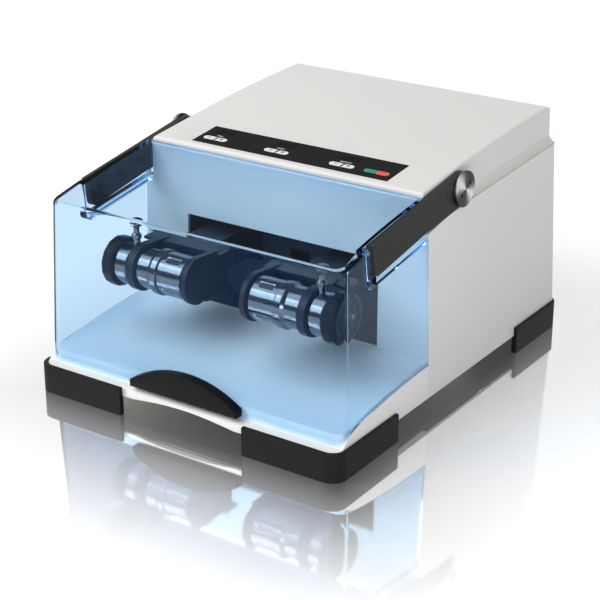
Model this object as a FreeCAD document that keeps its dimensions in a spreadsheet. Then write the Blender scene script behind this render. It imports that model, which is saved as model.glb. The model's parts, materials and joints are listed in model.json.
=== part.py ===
import FreeCAD, Part
import math
import os
import Sketcher
from FreeCAD import Placement, Rotation, Vector

# Bench ball mill with two swinging jar holders under a lid.
# Lengths are in millimetres. X runs to the right, Y to the rear and Z up.
# The origin is the centre of the footprint, on the bench.

LENGTHS = {
    # shared clearances
    "overrun": 5,
    "slip_gap": 0.05,
    "seat_gap": 0.2,
    "lid_gap": 0.3,
    "part_gap": 0.5,
    # base and housing
    "base_width": 363.6,
    "base_length": 451.2,
    "base_bottom": 20.3,
    "base_corner_radius": 13,
    "shell_wall": 3.5,
    "seam_y": -57,
    "ledge_front_z": 194.1,
    "ledge_bend_y": 13.6,
    "ledge_bend_z": 204.2,
    "ledge_rear_z": 215.2,
    "ledge_front_radius": 400,
    "ledge_width": 8.4,
    "ledge_land": 3.5,
    "housing_rear_radius": 6,
    "chamber_wall_top": 229,
    "chamber_wall_inset": 15.8,
    # base tray
    "lip_z": 22.5,
    "lip_radius": 10,
    "seat_front_y": -215.7,
    "seat_front_z": 30.4,
    "seat_knee_y": -190,
    "seat_knee_z": 44.6,
    "seat_rear_z": 56,
    "seat_front_radius": 52,
    "seat_side_radius": 1000,
    "floor_front_z": 41.2,
    "floor_rear_z": 60.2,
    "floor_radius": 940,
    "tray_cavity_front_y": -222,
    "tray_cavity_step_y": -207,
    "tray_cavity_step_z": 26.5,
    "arch_half": 62,
    "arch_rise": 4.6,
    # base plate
    "plate_bottom": 22.5,
    "plate_thickness": 2.5,
    "plate_side_inset": 8.8,
    "plate_end_inset": 8.6,
    # feet
    "foot_side_proud": 3.7,
    "foot_end_proud": 4.9,
    "foot_height": 30.2,
    "foot_wall": 6,
    "foot_corner_radius": 16,
    "foot_leg_x": 110.3,
    "front_foot_leg_y": 109.5,
    "rear_foot_leg_y": 103.5,
    "foot_edge": 1.2,
    "foot_block": 36,
    "foot_boss_radius": 8,
    "foot_boss_inset_x": 27.5,
    "foot_boss_inset_y": 23.5,
    "foot_recess_radius": 6,
    "foot_recess_depth": 12,
    # top cover
    "cover_wall": 3,
    "cover_front_y": -52.9,
    "cover_front_z": 233,
    "cover_bend_y": 16,
    "cover_bend_z": 240.4,
    "cover_rear_inset": 7,
    "cover_rear_z": 254.5,
    "cover_top_radius": 2705,
    "cover_edge_radius": 4,
    "cover_boss_radius": 13,
    "cover_boss_length": 13,
    "cove_reach": 7,
    "cove_start_y": 30,
    "cove_radius": 8.5,
    # keypad, in the plane of the sloping front of the cover
    "pad_half_width": 120,
    "pad_near": 8.4,
    "pad_far": 51.1,
    "pad_thickness": 1.5,
    "pad_sunk": 1.2,
    "key_row": 21.5,
    "key_depth": 7,
    "key_width": 14,
    "key_split": 1,
    "key_proud": 0.6,
    "key_flange": 0.8,
    "key_flange_height": 1.1,
    "key_tail": 3,
    "key_gap": 0.25,
    "first_pair_x": -99,
    "second_pair_x": -21,
    "third_pair_x": 59,
    "run_pair_x": 100,
    "window_row": 40,
    "window_width": 24,
    "window_depth": 11,
    "window_thickness": 1.1,
    "board_drop": 10,
    "board_thickness": 1.6,
    "board_near": 6,
    "board_far": 62,
    "board_half_width": 112,
    "spacer_radius": 3,
    "spacer_inset": 6,
    "chip_size": 12,
    "chip_height": 2.5,
    # lid
    "lid_wall": 4,
    "lid_rear_y": -57.4,
    "lid_rear_z": 230.2,
    "lid_front_top_z": 204.3,
    "lid_top_radius": 1300,
    "lid_corner_radius": 13,
    "lid_bend_radius": 6,
    "lid_inner_bend_radius": 3,
    "recess_inset": 14.4,
    "recess_front_y": -161,
    "recess_front_z": 173.5,
    "recess_lean": 6.5,
    "recess_rear_y": -40,
    "recess_rear_z": 191.6,
    "recess_corner_radius": 8,
    # lid arms
    "arm_gap": 0.1,
    "arm_thickness": 7.8,
    "arm_front_y": -159,
    "arm_front_z": 213.2,
    "arm_toe_y": -153.5,
    "arm_toe_z": 180.6,
    "arm_waist_y": -64,
    "arm_waist_z": 195.7,
    "arm_end_radius": 17,
    "arm_toe_radius": 6,
    "arm_toe_lift": 0.6,
    "pivot_y": 9,
    "pivot_z": 222,
    "pivot_pin_radius": 6,
    "pivot_pin_length": 26,
    "pivot_head_radius": 18.6,
    "pivot_head_gap": 0.35,
    "pivot_head_thickness": 3.6,
    "pivot_head_edge": 0.6,
    "spanner_hole_radius": 1.6,
    "spanner_hole_depth": 2,
    "spanner_y": 8,
    "spanner_z": 5,
    "arm_screw_radius": 2,
    "arm_screw_reach": 4,
    "arm_screw_head_radius": 4,
    "arm_screw_head_height": 2.2,
    "arm_screw_front_y": -138,
    "arm_screw_front_z": 198.5,
    "arm_screw_rear_y": -74,
    "arm_screw_rear_z": 209,
    # lid handle
    "handle_half_width": 65.7,
    "handle_front_y": -226,
    "handle_bottom": 34,
    "handle_end_height": 7.5,
    "handle_radius": 120.4,
    "handle_edge": 1.5,
    # guard liner
    "guard_half_width": 118,
    "guard_bottom": 60.5,
    "guard_top": 155,
    "guard_back_y": -18,
    "guard_wall": 2,
    "guard_slot_half": 27,
    "guard_slot_bottom": 104,
    "guard_shelf_radius": 60,
    "guard_shelf_height": 4,
    "guard_shelf_step": 8,
    "guard_port_half": 12,
    "guard_port_bottom": 96,
    "guard_port_top": 126,
    # jar axis and swing arm
    "jar_y": -148,
    "jar_z": 129,
    "rocker_x": 75,
    "rocker_y": 8,
    "rocker_radius": 6,
    "rocker_bottom": 46,
    "rocker_top": 186,
    "hub_radius": 22,
    "hub_bottom": 92,
    "hub_top": 152,
    "hub_bore_radius": 8.5,
    "neck_half_width": 21,
    "neck_bottom": 112,
    "neck_top": 146,
    "beam_front_y": -113,
    "beam_rear_y": -101,
    "beam_bottom": 110,
    "beam_top": 150,
    "cheek_radius": 25,
    "inner_cheek_x": 33,
    "inner_cheek_thickness": 6,
    "outer_cheek_x": 100,
    "outer_cheek_thickness": 9,
    "flange_inner_x": 26,
    "flange_outer_x": 125,
    "flange_thickness": 3,
    "flange_front_y": -122,
    "flange_rear_y": -99,
    "rib_front_y": -146,
    "lever_length": 45,
    "lever_bottom": 112,
    "lever_top": 120,
    "lever_half_width": 9,
    "lever_pin_radius": 5,
    "lever_pin_length": 11.5,
    # arm bearings
    "hub_race_radius": 15,
    "hub_race_height": 9,
    "race_wall": 3,
    # jar
    "jar_inner_x": 39.1,
    "jar_seam_x": 72,
    "jar_outer_x": 99.9,
    "jar_radius": 22.5,
    "jar_foot_radius": 20,
    "jar_foot_length": 3,
    "jar_bore_radius": 15.5,
    "jar_floor": 7,
    "jar_neck_radius": 18.5,
    "jar_neck_length": 6,
    "cap_collar_radius": 24,
    "cap_collar_length": 8,
    "cap_radius": 21.3,
    "cap_taper_length": 3,
    "cap_roof": 7,
    "jar_edge": 1,
    "grip_length": 18,
    "cap_grip_length": 13,
    "grip_width": 8,
    "grip_depth": 1,
    "grip_end_radius": 2.5,
    "body_grip_x": 57,
    "cap_grip_x": 90,
    # clamp
    "pad_radius": 14,
    "pad_bore_radius": 17,
    "pad_gap": 0.2,
    "pad_height": 3.5,
    "spindle_radius": 7,
    "spindle_tip_radius": 4,
    "sleeve_radius": 22,
    "sleeve_groove_radius": 20,
    "sleeve_groove_length": 3,
    "sleeve_length": 17,
    "sleeve_edge": 1,
    "wheel_gap": 1,
    "wheel_radius": 26.5,
    "wheel_length": 15,
    "wheel_edge": 2,
    "wheel_dish_radius": 17,
    "wheel_dish_depth": 1.2,
    "wheel_bush_radius": 2.4,
    "wheel_bush_offset": 9,
    "wheel_bush_depth": 5,
    # locking pin
    "pin_x": 113,
    "pin_radius": 2.5,
    "pin_boss_radius": 3.9,
    "pin_boss_top": 158,
    "pin_boss_root": 145,
    "pin_collar_radius": 5.2,
    "pin_collar_height": 5,
    "pin_neck_radius": 3,
    "pin_cap_radius": 6.6,
    "pin_cap_bottom": 171,
    "pin_cap_top": 177.5,
    "pin_tip_gap": 0.3,
    # eccentric drive
    "shaft_y": 53,
    "shaft_radius": 8,
    "shaft_bottom": 48,
    "shaft_top": 182,
    "eccentric_radius": 12,
    "eccentric_throw": 2.36,
    "big_end_radius": 22,
    "big_end_bore": 17.1,
    "rod_height": 9,
    "rod_half_width": 5,
    "small_end_radius": 9,
    "pulley_radius": 24,
    "pulley_bottom": 63,
    "pulley_top": 77,
    "pulley_flange": 1.5,
    "pulley_flange_height": 1,
    "belt_gap": 0.3,
    "belt_thickness": 2.2,
    "motor_y": 150,
    "rotor_radius": 6,
    "rotor_bottom": 61,
    "rotor_top": 98,
    "motor_flange": 90,
    "motor_flange_bottom": 84,
    "motor_flange_height": 6,
    "motor_radius": 42,
    "motor_top": 166,
    "motor_cap_radius": 35,
    "motor_cap_height": 7,
    "motor_bore_radius": 7,
    "standoff_radius": 5,
    "standoff_offset": 37,
    # drive frame and dampers
    "frame_half_width": 114,
    "frame_front_y": -12,
    "frame_rear_y": 197,
    "frame_bottom": 50,
    "frame_plate": 8,
    "bridge_bottom": 172,
    "bridge_rear_y": 74,
    "frame_side": 10,
    "shaft_race_radius": 14,
    "damper_radius": 12,
    "damper_inset": 18,
    # electrics
    "supply_inset": 9.8,
    "supply_width": 50,
    "supply_front_y": 100,
    "supply_rear_y": 190,
    "supply_height": 42,
    "supply_edge": 2,
    "panel_recess_depth": 3,
    "panel_recess_inset": 19.8,
    "panel_recess_width": 96,
    "panel_recess_bottom": 44,
    "panel_recess_top": 84,
    "inlet_inset": 49.8,
    "inlet_z": 64,
    "inlet_width": 46,
    "inlet_height": 26,
    "inlet_depth": 24,
    "inlet_flange": 3,
    "inlet_flange_thickness": 2.2,
    "socket_width": 24,
    "socket_height": 16,
    "socket_depth": 17,
    "contact_width": 2,
    "contact_height": 6,
    "contact_pitch": 7,
    "contact_length": 13,
    "switch_inset": 97.8,
    "switch_width": 21,
    "switch_height": 28,
    "switch_depth": 20,
    "rocker_half_height": 10,
    "rocker_half_width": 6.5,
    "rocker_pivot_depth": 2.6,
    "rocker_lip": 5,
    "rocker_back": 3,
    "rocker_hollow": 1.6,
    "switch_bore_half_height": 11.8,
    "switch_bore_half_width": 7,
    "switch_pin_radius": 1.5,
    "fan_inset": 81.8,
    "fan_z": 120,
    "fan_size": 80,
    "fan_length": 24.6,
    "fan_rear_gap": 9,
    "fan_bore_radius": 38,
    "fan_hub_radius": 16,
    "fan_tip_radius": 36,
    "fan_blade_thickness": 2,
    "fan_blade_depth": 16,
    "fan_pin_radius": 3,
    "fan_strut": 6,
    "vent_half_width": 34,
    "vent_height": 4,
    "vent_pitch": 9,
    # screws
    "case_screw_radius": 2.5,
    "case_screw_head_radius": 4.6,
    "case_screw_head_height": 3,
    "cover_screw_inset": 61.8,
    "cover_screw_z": 226,
    "cover_screw_radius": 2,
    "cover_screw_reach": 7,
    "tab_half_width": 14,
    "tab_thickness": 4,
    "tab_top": 238,
}

SHARES = {
    "draft_share": 0.0345,
    "lid_front_share": 0.0304,
    "fan_twist_share": 0.45,
}

GRIP_COUNT = 4
WHEEL_FACETS = 14
FAN_BLADES = 7
VENT_COUNT = 8
SHELF_STEPS = 2
ROCKER_TILT = 6.0
DRAFT_COSINE = 0.99
ROUNDING_SHARE = 1e-6
KEY_SIGNS = (-1, 1)
SIDES = {"left": -1, "right": 1}

doc = FreeCAD.newDocument("lab_mill")


class Size:
    """A length with its number and the sheet formula that gives it."""

    def __init__(self, value, text, bound=True):
        self.value = float(value)
        self.text = text
        self.bound = bound

    def join(self, other, sign, swapped=False):
        other = as_size(other)
        first, second = (other, self) if swapped else (self, other)
        results = {
            "+": first.value + second.value,
            "-": first.value - second.value,
            "*": first.value * second.value,
            "/": first.value / second.value if second.value else 0.0,
        }
        text = f"({first.text} {sign} {second.text})"
        return Size(results[sign], text, first.bound or second.bound)

    def __add__(self, other):
        return self.join(other, "+")

    def __radd__(self, other):
        return self.join(other, "+", True)

    def __sub__(self, other):
        return self.join(other, "-")

    def __rsub__(self, other):
        return self.join(other, "-", True)

    def __mul__(self, other):
        return self.join(other, "*")

    def __rmul__(self, other):
        return self.join(other, "*", True)

    def __truediv__(self, other):
        return self.join(other, "/")

    def __neg__(self):
        return self.join(-1, "*")


def as_size(number):
    if isinstance(number, Size):
        return number
    return Size(number, f"({number})", False)


def make_sheet():
    """Write every driving dimension to the sheet and return them by name."""
    sheet = doc.addObject("Spreadsheet::Sheet", "Sizes")
    cells = {}
    for row, (name, value) in enumerate({**LENGTHS, **SHARES}.items(), start=1):
        sheet.set(f"A{row}", name)
        sheet.set(f"B{row}", str(value))
        sheet.setAlias(f"B{row}", name)
        cells[name] = Size(value, f"Sizes.{name}")
    doc.recompute()
    return type("Cells", (), cells)


s = make_sheet()

# Places that follow the base's width and length

s.base_rear_y = s.base_length / 2
s.base_front_y = -s.base_rear_y
s.cover_rear_y = s.base_rear_y - s.cover_rear_inset
s.chamber_wall_half = s.base_width / 2 - s.chamber_wall_inset
s.plate_half_width = s.base_width / 2 - s.plate_side_inset
s.plate_half_length = s.base_length / 2 - s.plate_end_inset
s.foot_half_width = s.base_width / 2 + s.foot_side_proud
s.foot_half_length = s.base_length / 2 + s.foot_end_proud
s.recess_x = s.base_width / 2 - s.recess_inset
s.arm_x = s.recess_x + s.arm_gap
s.cover_screw_x = s.base_width / 2 - s.cover_screw_inset
s.supply_x = s.supply_inset - s.base_width / 2
s.panel_recess_y = s.base_rear_y - s.panel_recess_depth
s.panel_recess_left = s.panel_recess_inset - s.base_width / 2
s.panel_recess_right = s.panel_recess_left + s.panel_recess_width
s.inlet_x = s.inlet_inset - s.base_width / 2
s.switch_x = s.switch_inset - s.base_width / 2
s.rocker_pivot_y = s.panel_recess_y - s.rocker_pivot_depth
s.fan_x = s.base_width / 2 - s.fan_inset
s.fan_rear_y = s.base_rear_y - s.fan_rear_gap
s.fan_front_y = s.fan_rear_y - s.fan_length


def bind(item, name, amount):
    """Tie one property to the sheet, or set it where the amount is a plain number."""
    amount = as_size(amount)
    if amount.bound:
        item.setExpression(name, amount.text)
    elif not name.startswith("Placement"):
        setattr(item, name, amount.value)


def place(item, at, rotation=None):
    """Put an object at three amounts, with an optional turn."""
    at = [as_size(amount) for amount in at]
    point = Vector(*[amount.value for amount in at])
    item.Placement = Placement(point, rotation or Rotation())
    for axis, amount in zip("xyz", at):
        bind(item, f"Placement.Base.{axis}", amount)
    return item


TURNS = {
    "x": Rotation(Vector(0, 1, 0), 90),
    "y": Rotation(Vector(1, 0, 0), -90),
    "z": Rotation(),
}

PLANES = {
    "xy": Rotation(),
    "xz": Rotation(Vector(1, 0, 0), 90),
    "yz": Rotation(Vector(1, 1, 1), 120),
}

ORIGIN_PLANES = {"xy": "XY_Plane", "xz": "XZ_Plane", "yz": "YZ_Plane"}


def span(side, low, high):
    """The range low to high on the right side, or its mirror image on the left."""
    if side > 0:
        return low, high
    return -high, -low


def box(name, x, y, z):
    item = doc.addObject("Part::Box", name)
    for prop, (low, high) in zip(("Length", "Width", "Height"), (x, y, z)):
        bind(item, prop, high - low)
    return place(item, (x[0], y[0], z[0]))


def cylinder(name, radius, across, along, axis="z"):
    """A cylinder on an axis; across gives the two other places, in X, Y, Z order."""
    item = doc.addObject("Part::Cylinder", name)
    bind(item, "Radius", radius)
    bind(item, "Height", along[1] - along[0])
    at = list(across)
    at.insert("xyz".index(axis), along[0])
    return place(item, at, TURNS[axis])


def combine(kind, name, members):
    """A union or an intersection of several objects."""
    item = doc.addObject(kind, name)
    item.Shapes = members
    return item


def fuse(name, *members):
    return combine("Part::MultiFuse", name, list(members))


def common(name, *members):
    return combine("Part::MultiCommon", name, list(members))


def cut(name, base, *tools):
    item = doc.addObject("Part::Cut", name)
    item.Base = base
    item.Tool = tools[0] if len(tools) == 1 else fuse(f"{name}_tools", *tools)
    return item


def group(name, *members):
    """Several separate solids that share one node."""
    item = doc.addObject("Part::Compound", name)
    item.Links = list(members)
    return item


def arc_between(start, end, radius):
    """The arc of a circle from start to end, with its centre on the left when radius is over 0."""
    reach = end - start
    half = reach.Length / 2
    left = Vector(-reach.y, reach.x, 0).normalize()
    rise = math.sqrt(max(radius * radius - half * half, 0))
    centre = (start + end) / 2 + left * math.copysign(rise, radius)
    circle = Part.Circle(centre, Vector(0, 0, 1), abs(radius))
    ends = (start, end) if radius > 0 else (end, start)
    return Part.ArcOfCircle(circle, circle.parameter(ends[0]), circle.parameter(ends[1]))


def fix_point(sketch, geometry, end, point):
    """Hold one end of a line or arc at two amounts from the sketch's origin."""
    for kind, axis, amount in (("DistanceX", -2, point[0]), ("DistanceY", -1, point[1])):
        amount = as_size(amount)
        if amount.bound:
            rule = Sketcher.Constraint(kind, -1, 1, geometry, end, amount.value)
            number = sketch.addConstraint(rule)
            sketch.setExpression(f"Constraints[{number}]", amount.text)
        else:
            sketch.addConstraint(Sketcher.Constraint("PointOnObject", geometry, end, axis))


def hold_arc(sketch, geometry, radius, start, places):
    """Fix an arc between two fixed ends: by its radius, or by its centre where it is a half circle."""
    size = radius if radius.value > 0 else -radius
    reach = places[1] - places[0]
    if size.value - reach.Length / 2 > ROUNDING_SHARE * size.value:
        number = sketch.addConstraint(Sketcher.Constraint("Radius", geometry, size.value))
        sketch.setExpression(f"Constraints[{number}]", size.text)
        return
    upright = abs(reach.y) > abs(reach.x)
    kind = "DistanceX" if upright else "DistanceY"
    amount = as_size(start[0] if upright else start[1])
    number = sketch.addConstraint(Sketcher.Constraint(kind, -1, 1, geometry, 3, amount.value))
    sketch.setExpression(f"Constraints[{number}]", amount.text)


def draw_ring(sketch, points):
    """Draw a closed outline. A point with a third entry starts an arc of that radius."""
    places = [Vector(as_size(p[0]).value, as_size(p[1]).value, 0) for p in points]
    ends = []
    for number, point in enumerate(points):
        start = places[number]
        end = places[(number + 1) % len(points)]
        if len(point) == 2:
            geometry = sketch.addGeometry(Part.LineSegment(start, end))
            ends.append((geometry, 1, 2))
            continue
        radius = as_size(point[2])
        geometry = sketch.addGeometry(arc_between(start, end, radius.value))
        ends.append((geometry, 1, 2) if radius.value > 0 else (geometry, 2, 1))
        hold_arc(sketch, geometry, radius, point, (start, end))
    for number, (geometry, first, last) in enumerate(ends):
        following = ends[(number + 1) % len(ends)]
        sketch.addConstraint(
            Sketcher.Constraint("Coincident", geometry, last, following[0], following[1]))
        fix_point(sketch, geometry, first, points[number])


def draw_circle(sketch, centre, radius):
    middle = Vector(as_size(centre[0]).value, as_size(centre[1]).value, 0)
    circle = Part.Circle(middle, Vector(0, 0, 1), as_size(radius).value)
    geometry = sketch.addGeometry(circle)
    number = sketch.addConstraint(Sketcher.Constraint("Radius", geometry, as_size(radius).value))
    sketch.setExpression(f"Constraints[{number}]", as_size(radius).text)
    fix_point(sketch, geometry, 3, centre)


def prism(name, plane, points, low, high):
    """An outline on a plane, extruded from low to high along the third axis."""
    sketch = doc.addObject("Sketcher::SketchObject", f"{name}_outline")
    draw_ring(sketch, points)
    starts = {"xy": (0, 0, low), "xz": (0, high, 0), "yz": (low, 0, 0)}
    place(sketch, starts[plane], PLANES[plane])
    item = doc.addObject("Part::Extrusion", name)
    item.Base = sketch
    item.DirMode = "Normal"
    item.Solid = True
    bind(item, "LengthFwd", high - low)
    return item


def new_body(name, at=(0, 0, 0), rotation=None):
    item = doc.addObject("PartDesign::Body", name)
    return place(item, at, rotation)


def body_sketch(body, plane, offset=0):
    """A sketch on one of the body's own origin planes, moved along its normal."""
    sketch = body.newObject("Sketcher::SketchObject", f"{body.Name}_sketch")
    role = ORIGIN_PLANES[plane]
    support = [f for f in body.Origin.OriginFeatures if f.Role == role][0]
    sketch.AttachmentSupport = (support, "")
    sketch.MapMode = "FlatFace"
    if as_size(offset).bound:
        bind(sketch, "AttachmentOffset.Base.z", offset)
    return sketch


def feature(body, kind, sketch, length):
    """A pad or a pocket of one sketch."""
    item = body.newObject(kind, f"{body.Name}_feature")
    item.Profile = sketch
    bind(item, "Length", length)
    return item


def pad(body, plane, points, low, high):
    """Add the outline between two places on the plane's normal."""
    sketch = body_sketch(body, plane, low if plane != "xz" else -high)
    draw_ring(sketch, points)
    return feature(body, "PartDesign::Pad", sketch, high - low)


def pad_disc(body, plane, centre, radius, low, high):
    sketch = body_sketch(body, plane, low if plane != "xz" else -high)
    draw_circle(sketch, centre, radius)
    return feature(body, "PartDesign::Pad", sketch, high - low)


def drill(body, plane, centre, radius, low, high):
    """Cut a round hole between two places on the plane's normal."""
    sketch = body_sketch(body, plane, high if plane != "xz" else -low)
    draw_circle(sketch, centre, radius)
    return feature(body, "PartDesign::Pocket", sketch, high - low)


def pocket(body, plane, points, low, high):
    sketch = body_sketch(body, plane, high if plane != "xz" else -low)
    draw_ring(sketch, points)
    return feature(body, "PartDesign::Pocket", sketch, high - low)


def turn(body, points, upright=False, kind="PartDesign::Revolution"):
    """Turn a profile about the body's X axis, or its Z axis when upright."""
    sketch = body_sketch(body, "xz" if upright else "xy")
    draw_ring(sketch, points)
    item = body.newObject(kind, f"{body.Name}_turned")
    item.Profile = sketch
    item.ReferenceAxis = (sketch, ["V_Axis" if upright else "H_Axis"])
    item.Angle = 360
    return item


def repeat_about_x(body, features, count):
    item = body.newObject("PartDesign::PolarPattern", f"{body.Name}_pattern")
    item.Originals = features
    axis = [f for f in body.Origin.OriginFeatures if f.Role == "X_Axis"][0]
    item.Axis = (axis, [""])
    item.Angle = 360
    item.Occurrences = count
    body.Tip = item
    return item


def round_edges(name, base, radius, chooser, kind="Part::Fillet"):
    """Round or chamfer the chosen edges of a boolean result."""
    doc.recompute()
    item = doc.addObject(kind, name)
    item.Base = base
    edges = enumerate(base.Shape.Edges, start=1)
    item.Edges = [(n, radius.value, radius.value) for n, edge in edges if chooser(edge)]
    return item


def ends_of(edge):
    return edge.Vertexes[0].Point, edge.Vertexes[-1].Point


def runs_along(edge, axis):
    """True where a straight edge points along X, Y or Z, within its draft."""
    first, last = ends_of(edge)
    reach = last - first
    if reach.Length < s.slip_gap.value:
        return False
    return abs(getattr(reach, axis)) > DRAFT_COSINE * reach.Length


def near(amount, target):
    return abs(amount - as_size(target).value) < s.part_gap.value


def half_width(level, inset=0):
    """Half the housing's width at a height: the sides lean in as they rise."""
    return s.base_width / 2 - s.draft_share * (level - s.base_bottom) - inset


def drafted_slab(name, inset, y, z, front_share=0, rear_share=0):
    """A block with leaning sides; y is measured at the base's bottom edge."""
    item = doc.addObject("Part::Wedge", name)
    low, high = z
    bottom_rise = low - s.base_bottom
    top_rise = high - s.base_bottom
    bind(item, "Ymin", low)
    bind(item, "Ymax", high)
    bind(item, "Xmin", -half_width(low, inset))
    bind(item, "Xmax", half_width(low, inset))
    bind(item, "X2min", -half_width(high, inset))
    bind(item, "X2max", half_width(high, inset))
    bind(item, "Zmin", -(y[1] - rear_share * bottom_rise))
    bind(item, "Zmax", -(y[0] + front_share * bottom_rise))
    bind(item, "Z2min", -(y[1] - rear_share * top_rise))
    bind(item, "Z2max", -(y[0] + front_share * top_rise))
    return place(item, (0, 0, 0), PLANES["xz"])


def round_front(name, slab, radius):
    """Round the two upright front edges of a slab."""
    doc.recompute()
    front = slab.Shape.BoundBox.Center.y

    def upright_front(edge):
        return runs_along(edge, "z") and edge.CenterOfMass.y < front

    return round_edges(name, slab, radius, upright_front)


def round_rear(name, slab, radius):
    """Round the two upright rear edges of a slab."""
    doc.recompute()
    middle = slab.Shape.BoundBox.Center.y

    def upright_rear(edge):
        return runs_along(edge, "z") and edge.CenterOfMass.y > middle

    return round_edges(name, slab, radius, upright_rear)


parts = {}


def keep(item, name):
    """Name a finished sub-part after its node."""
    item.Label = name
    parts[name] = item
    return item


# Base, housing and cover

def ledge_line(lift, front_y):
    """The upper edge of the housing's sides, from rear to front."""
    return [
        (s.base_rear_y + s.overrun, s.ledge_rear_z + lift),
        (s.ledge_bend_y, s.ledge_bend_z + lift, s.ledge_front_radius),
        (front_y, s.ledge_front_z + lift),
    ]


def seat_line(lift, rear_y):
    """The curve on which the lid rests, from the front lip to the rear."""
    return [
        (s.seat_front_y, s.seat_front_z + lift, -s.seat_front_radius),
        (s.seat_knee_y, s.seat_knee_z + lift, -s.seat_side_radius),
        (rear_y, s.seat_rear_z + lift),
    ]


def make_base_tray():
    """Front tray: lip, lid seat and the chamber floor, hollow below."""
    rear_y = s.seam_y - s.seat_gap
    edge = [
        (s.base_front_y, s.base_bottom),
        (s.base_front_y, s.lip_z, -s.lip_radius),
    ]
    outline = edge + seat_line(-s.lid_gap, rear_y) + [(rear_y, s.base_bottom)]
    seat = prism("tray_seat_side", "yz", outline, -s.base_width, s.base_width)
    slab = drafted_slab("tray_slab", 0, (s.base_front_y, rear_y + s.overrun),
                        (s.base_bottom, s.floor_rear_z))
    lower = common("tray_lower", seat, round_front("tray_plan", slab, s.base_corner_radius))
    floor_front_y = s.seat_front_y + s.lid_wall + s.part_gap
    floor_side = prism("tray_floor_side", "yz", [
        (floor_front_y - s.overrun, s.lip_z),
        (floor_front_y - s.overrun, s.floor_front_z, -s.floor_radius),
        (rear_y, s.floor_rear_z),
        (rear_y, s.lip_z),
    ], -s.base_width, s.base_width)
    floor_slab = drafted_slab("tray_floor_slab", s.lid_wall + s.seat_gap,
                              (floor_front_y, rear_y + s.overrun), (s.base_bottom, s.floor_rear_z))
    plan = round_front("tray_floor_plan", floor_slab, s.base_corner_radius - s.lid_wall)
    plateau = common("tray_floor", floor_side, plan)
    hollow_side = prism("tray_hollow_side", "yz", [
        (s.tray_cavity_front_y, 0),
        (s.tray_cavity_front_y, s.lip_z),
        (s.seat_front_y, s.tray_cavity_step_z),
        (s.tray_cavity_step_y, s.tray_cavity_step_z),
        (s.tray_cavity_step_y, s.floor_front_z - s.shell_wall, -s.floor_radius),
        (s.seam_y + s.overrun, s.floor_rear_z - s.shell_wall),
        (s.seam_y + s.overrun, 0),
    ], -s.base_width, s.base_width)
    hollow_slab = drafted_slab("tray_hollow_slab", s.lid_wall + s.seat_gap + s.shell_wall,
                               (s.base_front_y, s.seam_y + s.overrun * 2), (0, s.floor_rear_z))
    hollow = common("tray_hollow", hollow_side, hollow_slab)
    arch_radius = (s.arch_half * s.arch_half + s.arch_rise * s.arch_rise) / (s.arch_rise * 2)
    arch = prism("tray_arch", "xz", [
        (-s.arch_half, s.base_bottom, -arch_radius),
        (s.arch_half, s.base_bottom),
    ], s.base_front_y - s.overrun, s.tray_cavity_front_y + s.overrun)
    return keep(cut("base_tray", fuse("tray_solid", lower, plateau), hollow, arch), "base_tray")


def make_rear_housing():
    """Housing shell with the chamber's back wall, the side ledges and the rear panel."""
    foot_line = [(s.seam_y, s.base_bottom), (s.base_rear_y + s.overrun, s.base_bottom)]
    side = prism("housing_side", "yz", foot_line + ledge_line(0, s.seam_y), -s.base_width, s.base_width)
    slab = drafted_slab("housing_slab", 0, (s.seam_y, s.base_rear_y),
                        (s.base_bottom, s.ledge_rear_z + s.overrun), 0, s.draft_share)
    outside = common("housing_outside", side, round_rear("housing_plan", slab, s.housing_rear_radius))
    wall = box("chamber_wall", (-s.chamber_wall_half, s.chamber_wall_half),
               (s.seam_y, s.seam_y + s.shell_wall), (s.ledge_front_z - s.overrun, s.chamber_wall_top))
    inner_y = s.seam_y + s.shell_wall
    inside_side = prism("housing_inside_side", "yz", [
        (inner_y, 0),
        (s.base_rear_y, 0),
        (s.base_rear_y, s.ledge_rear_z - s.ledge_land),
        (s.ledge_bend_y, s.ledge_bend_z - s.ledge_land, s.ledge_front_radius),
        (inner_y, s.ledge_front_z - s.ledge_land),
    ], -s.base_width, s.base_width)
    inside_slab = drafted_slab("housing_inside_slab", s.shell_wall,
                               (inner_y, s.base_rear_y - s.shell_wall),
                               (0, s.ledge_rear_z + s.overrun), 0, s.draft_share)
    inside = common("housing_inside", inside_side, inside_slab)
    mouth_inset = s.ledge_width + s.ledge_land
    mouth = drafted_slab("housing_mouth", mouth_inset, (inner_y, s.cover_rear_y - mouth_inset),
                         (s.ledge_front_z - s.overrun * 2, s.ledge_rear_z + s.overrun))
    foot_slot = box("chamber_wall_foot", centred(0, s.plate_half_width + s.part_gap),
                    (s.seam_y - s.overrun, inner_y + s.overrun),
                    (0, s.plate_bottom + s.plate_thickness + s.lid_gap))
    window = box("guard_window", (-s.guard_half_width, s.guard_half_width),
                 (s.seam_y - s.overrun, inner_y + s.overrun), (s.guard_bottom, s.guard_top))
    recess = box("rear_panel_recess", (s.panel_recess_left, s.panel_recess_right),
                 (s.panel_recess_y, s.base_rear_y + s.overrun), (s.panel_recess_bottom, s.panel_recess_top))
    reach = (s.panel_recess_y - s.overrun * 2, s.panel_recess_y + s.overrun)
    inlet = box("inlet_hole", centred(s.inlet_x, s.inlet_width / 2 + s.part_gap),
                reach, centred(s.inlet_z, s.inlet_height / 2 + s.part_gap))
    switch = box("switch_hole", centred(s.switch_x, s.switch_width / 2 + s.part_gap),
                 reach, centred(s.inlet_z, s.switch_height / 2 + s.part_gap))
    shell = cut("housing_shell", fuse("housing_solid", outside, wall),
                inside, mouth, foot_slot, window, recess, inlet, switch, *vent_slots())
    return keep(fuse("rear_housing", shell, *cover_tabs()), "rear_housing")


def centred(middle, half):
    return middle - half, middle + half


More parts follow.
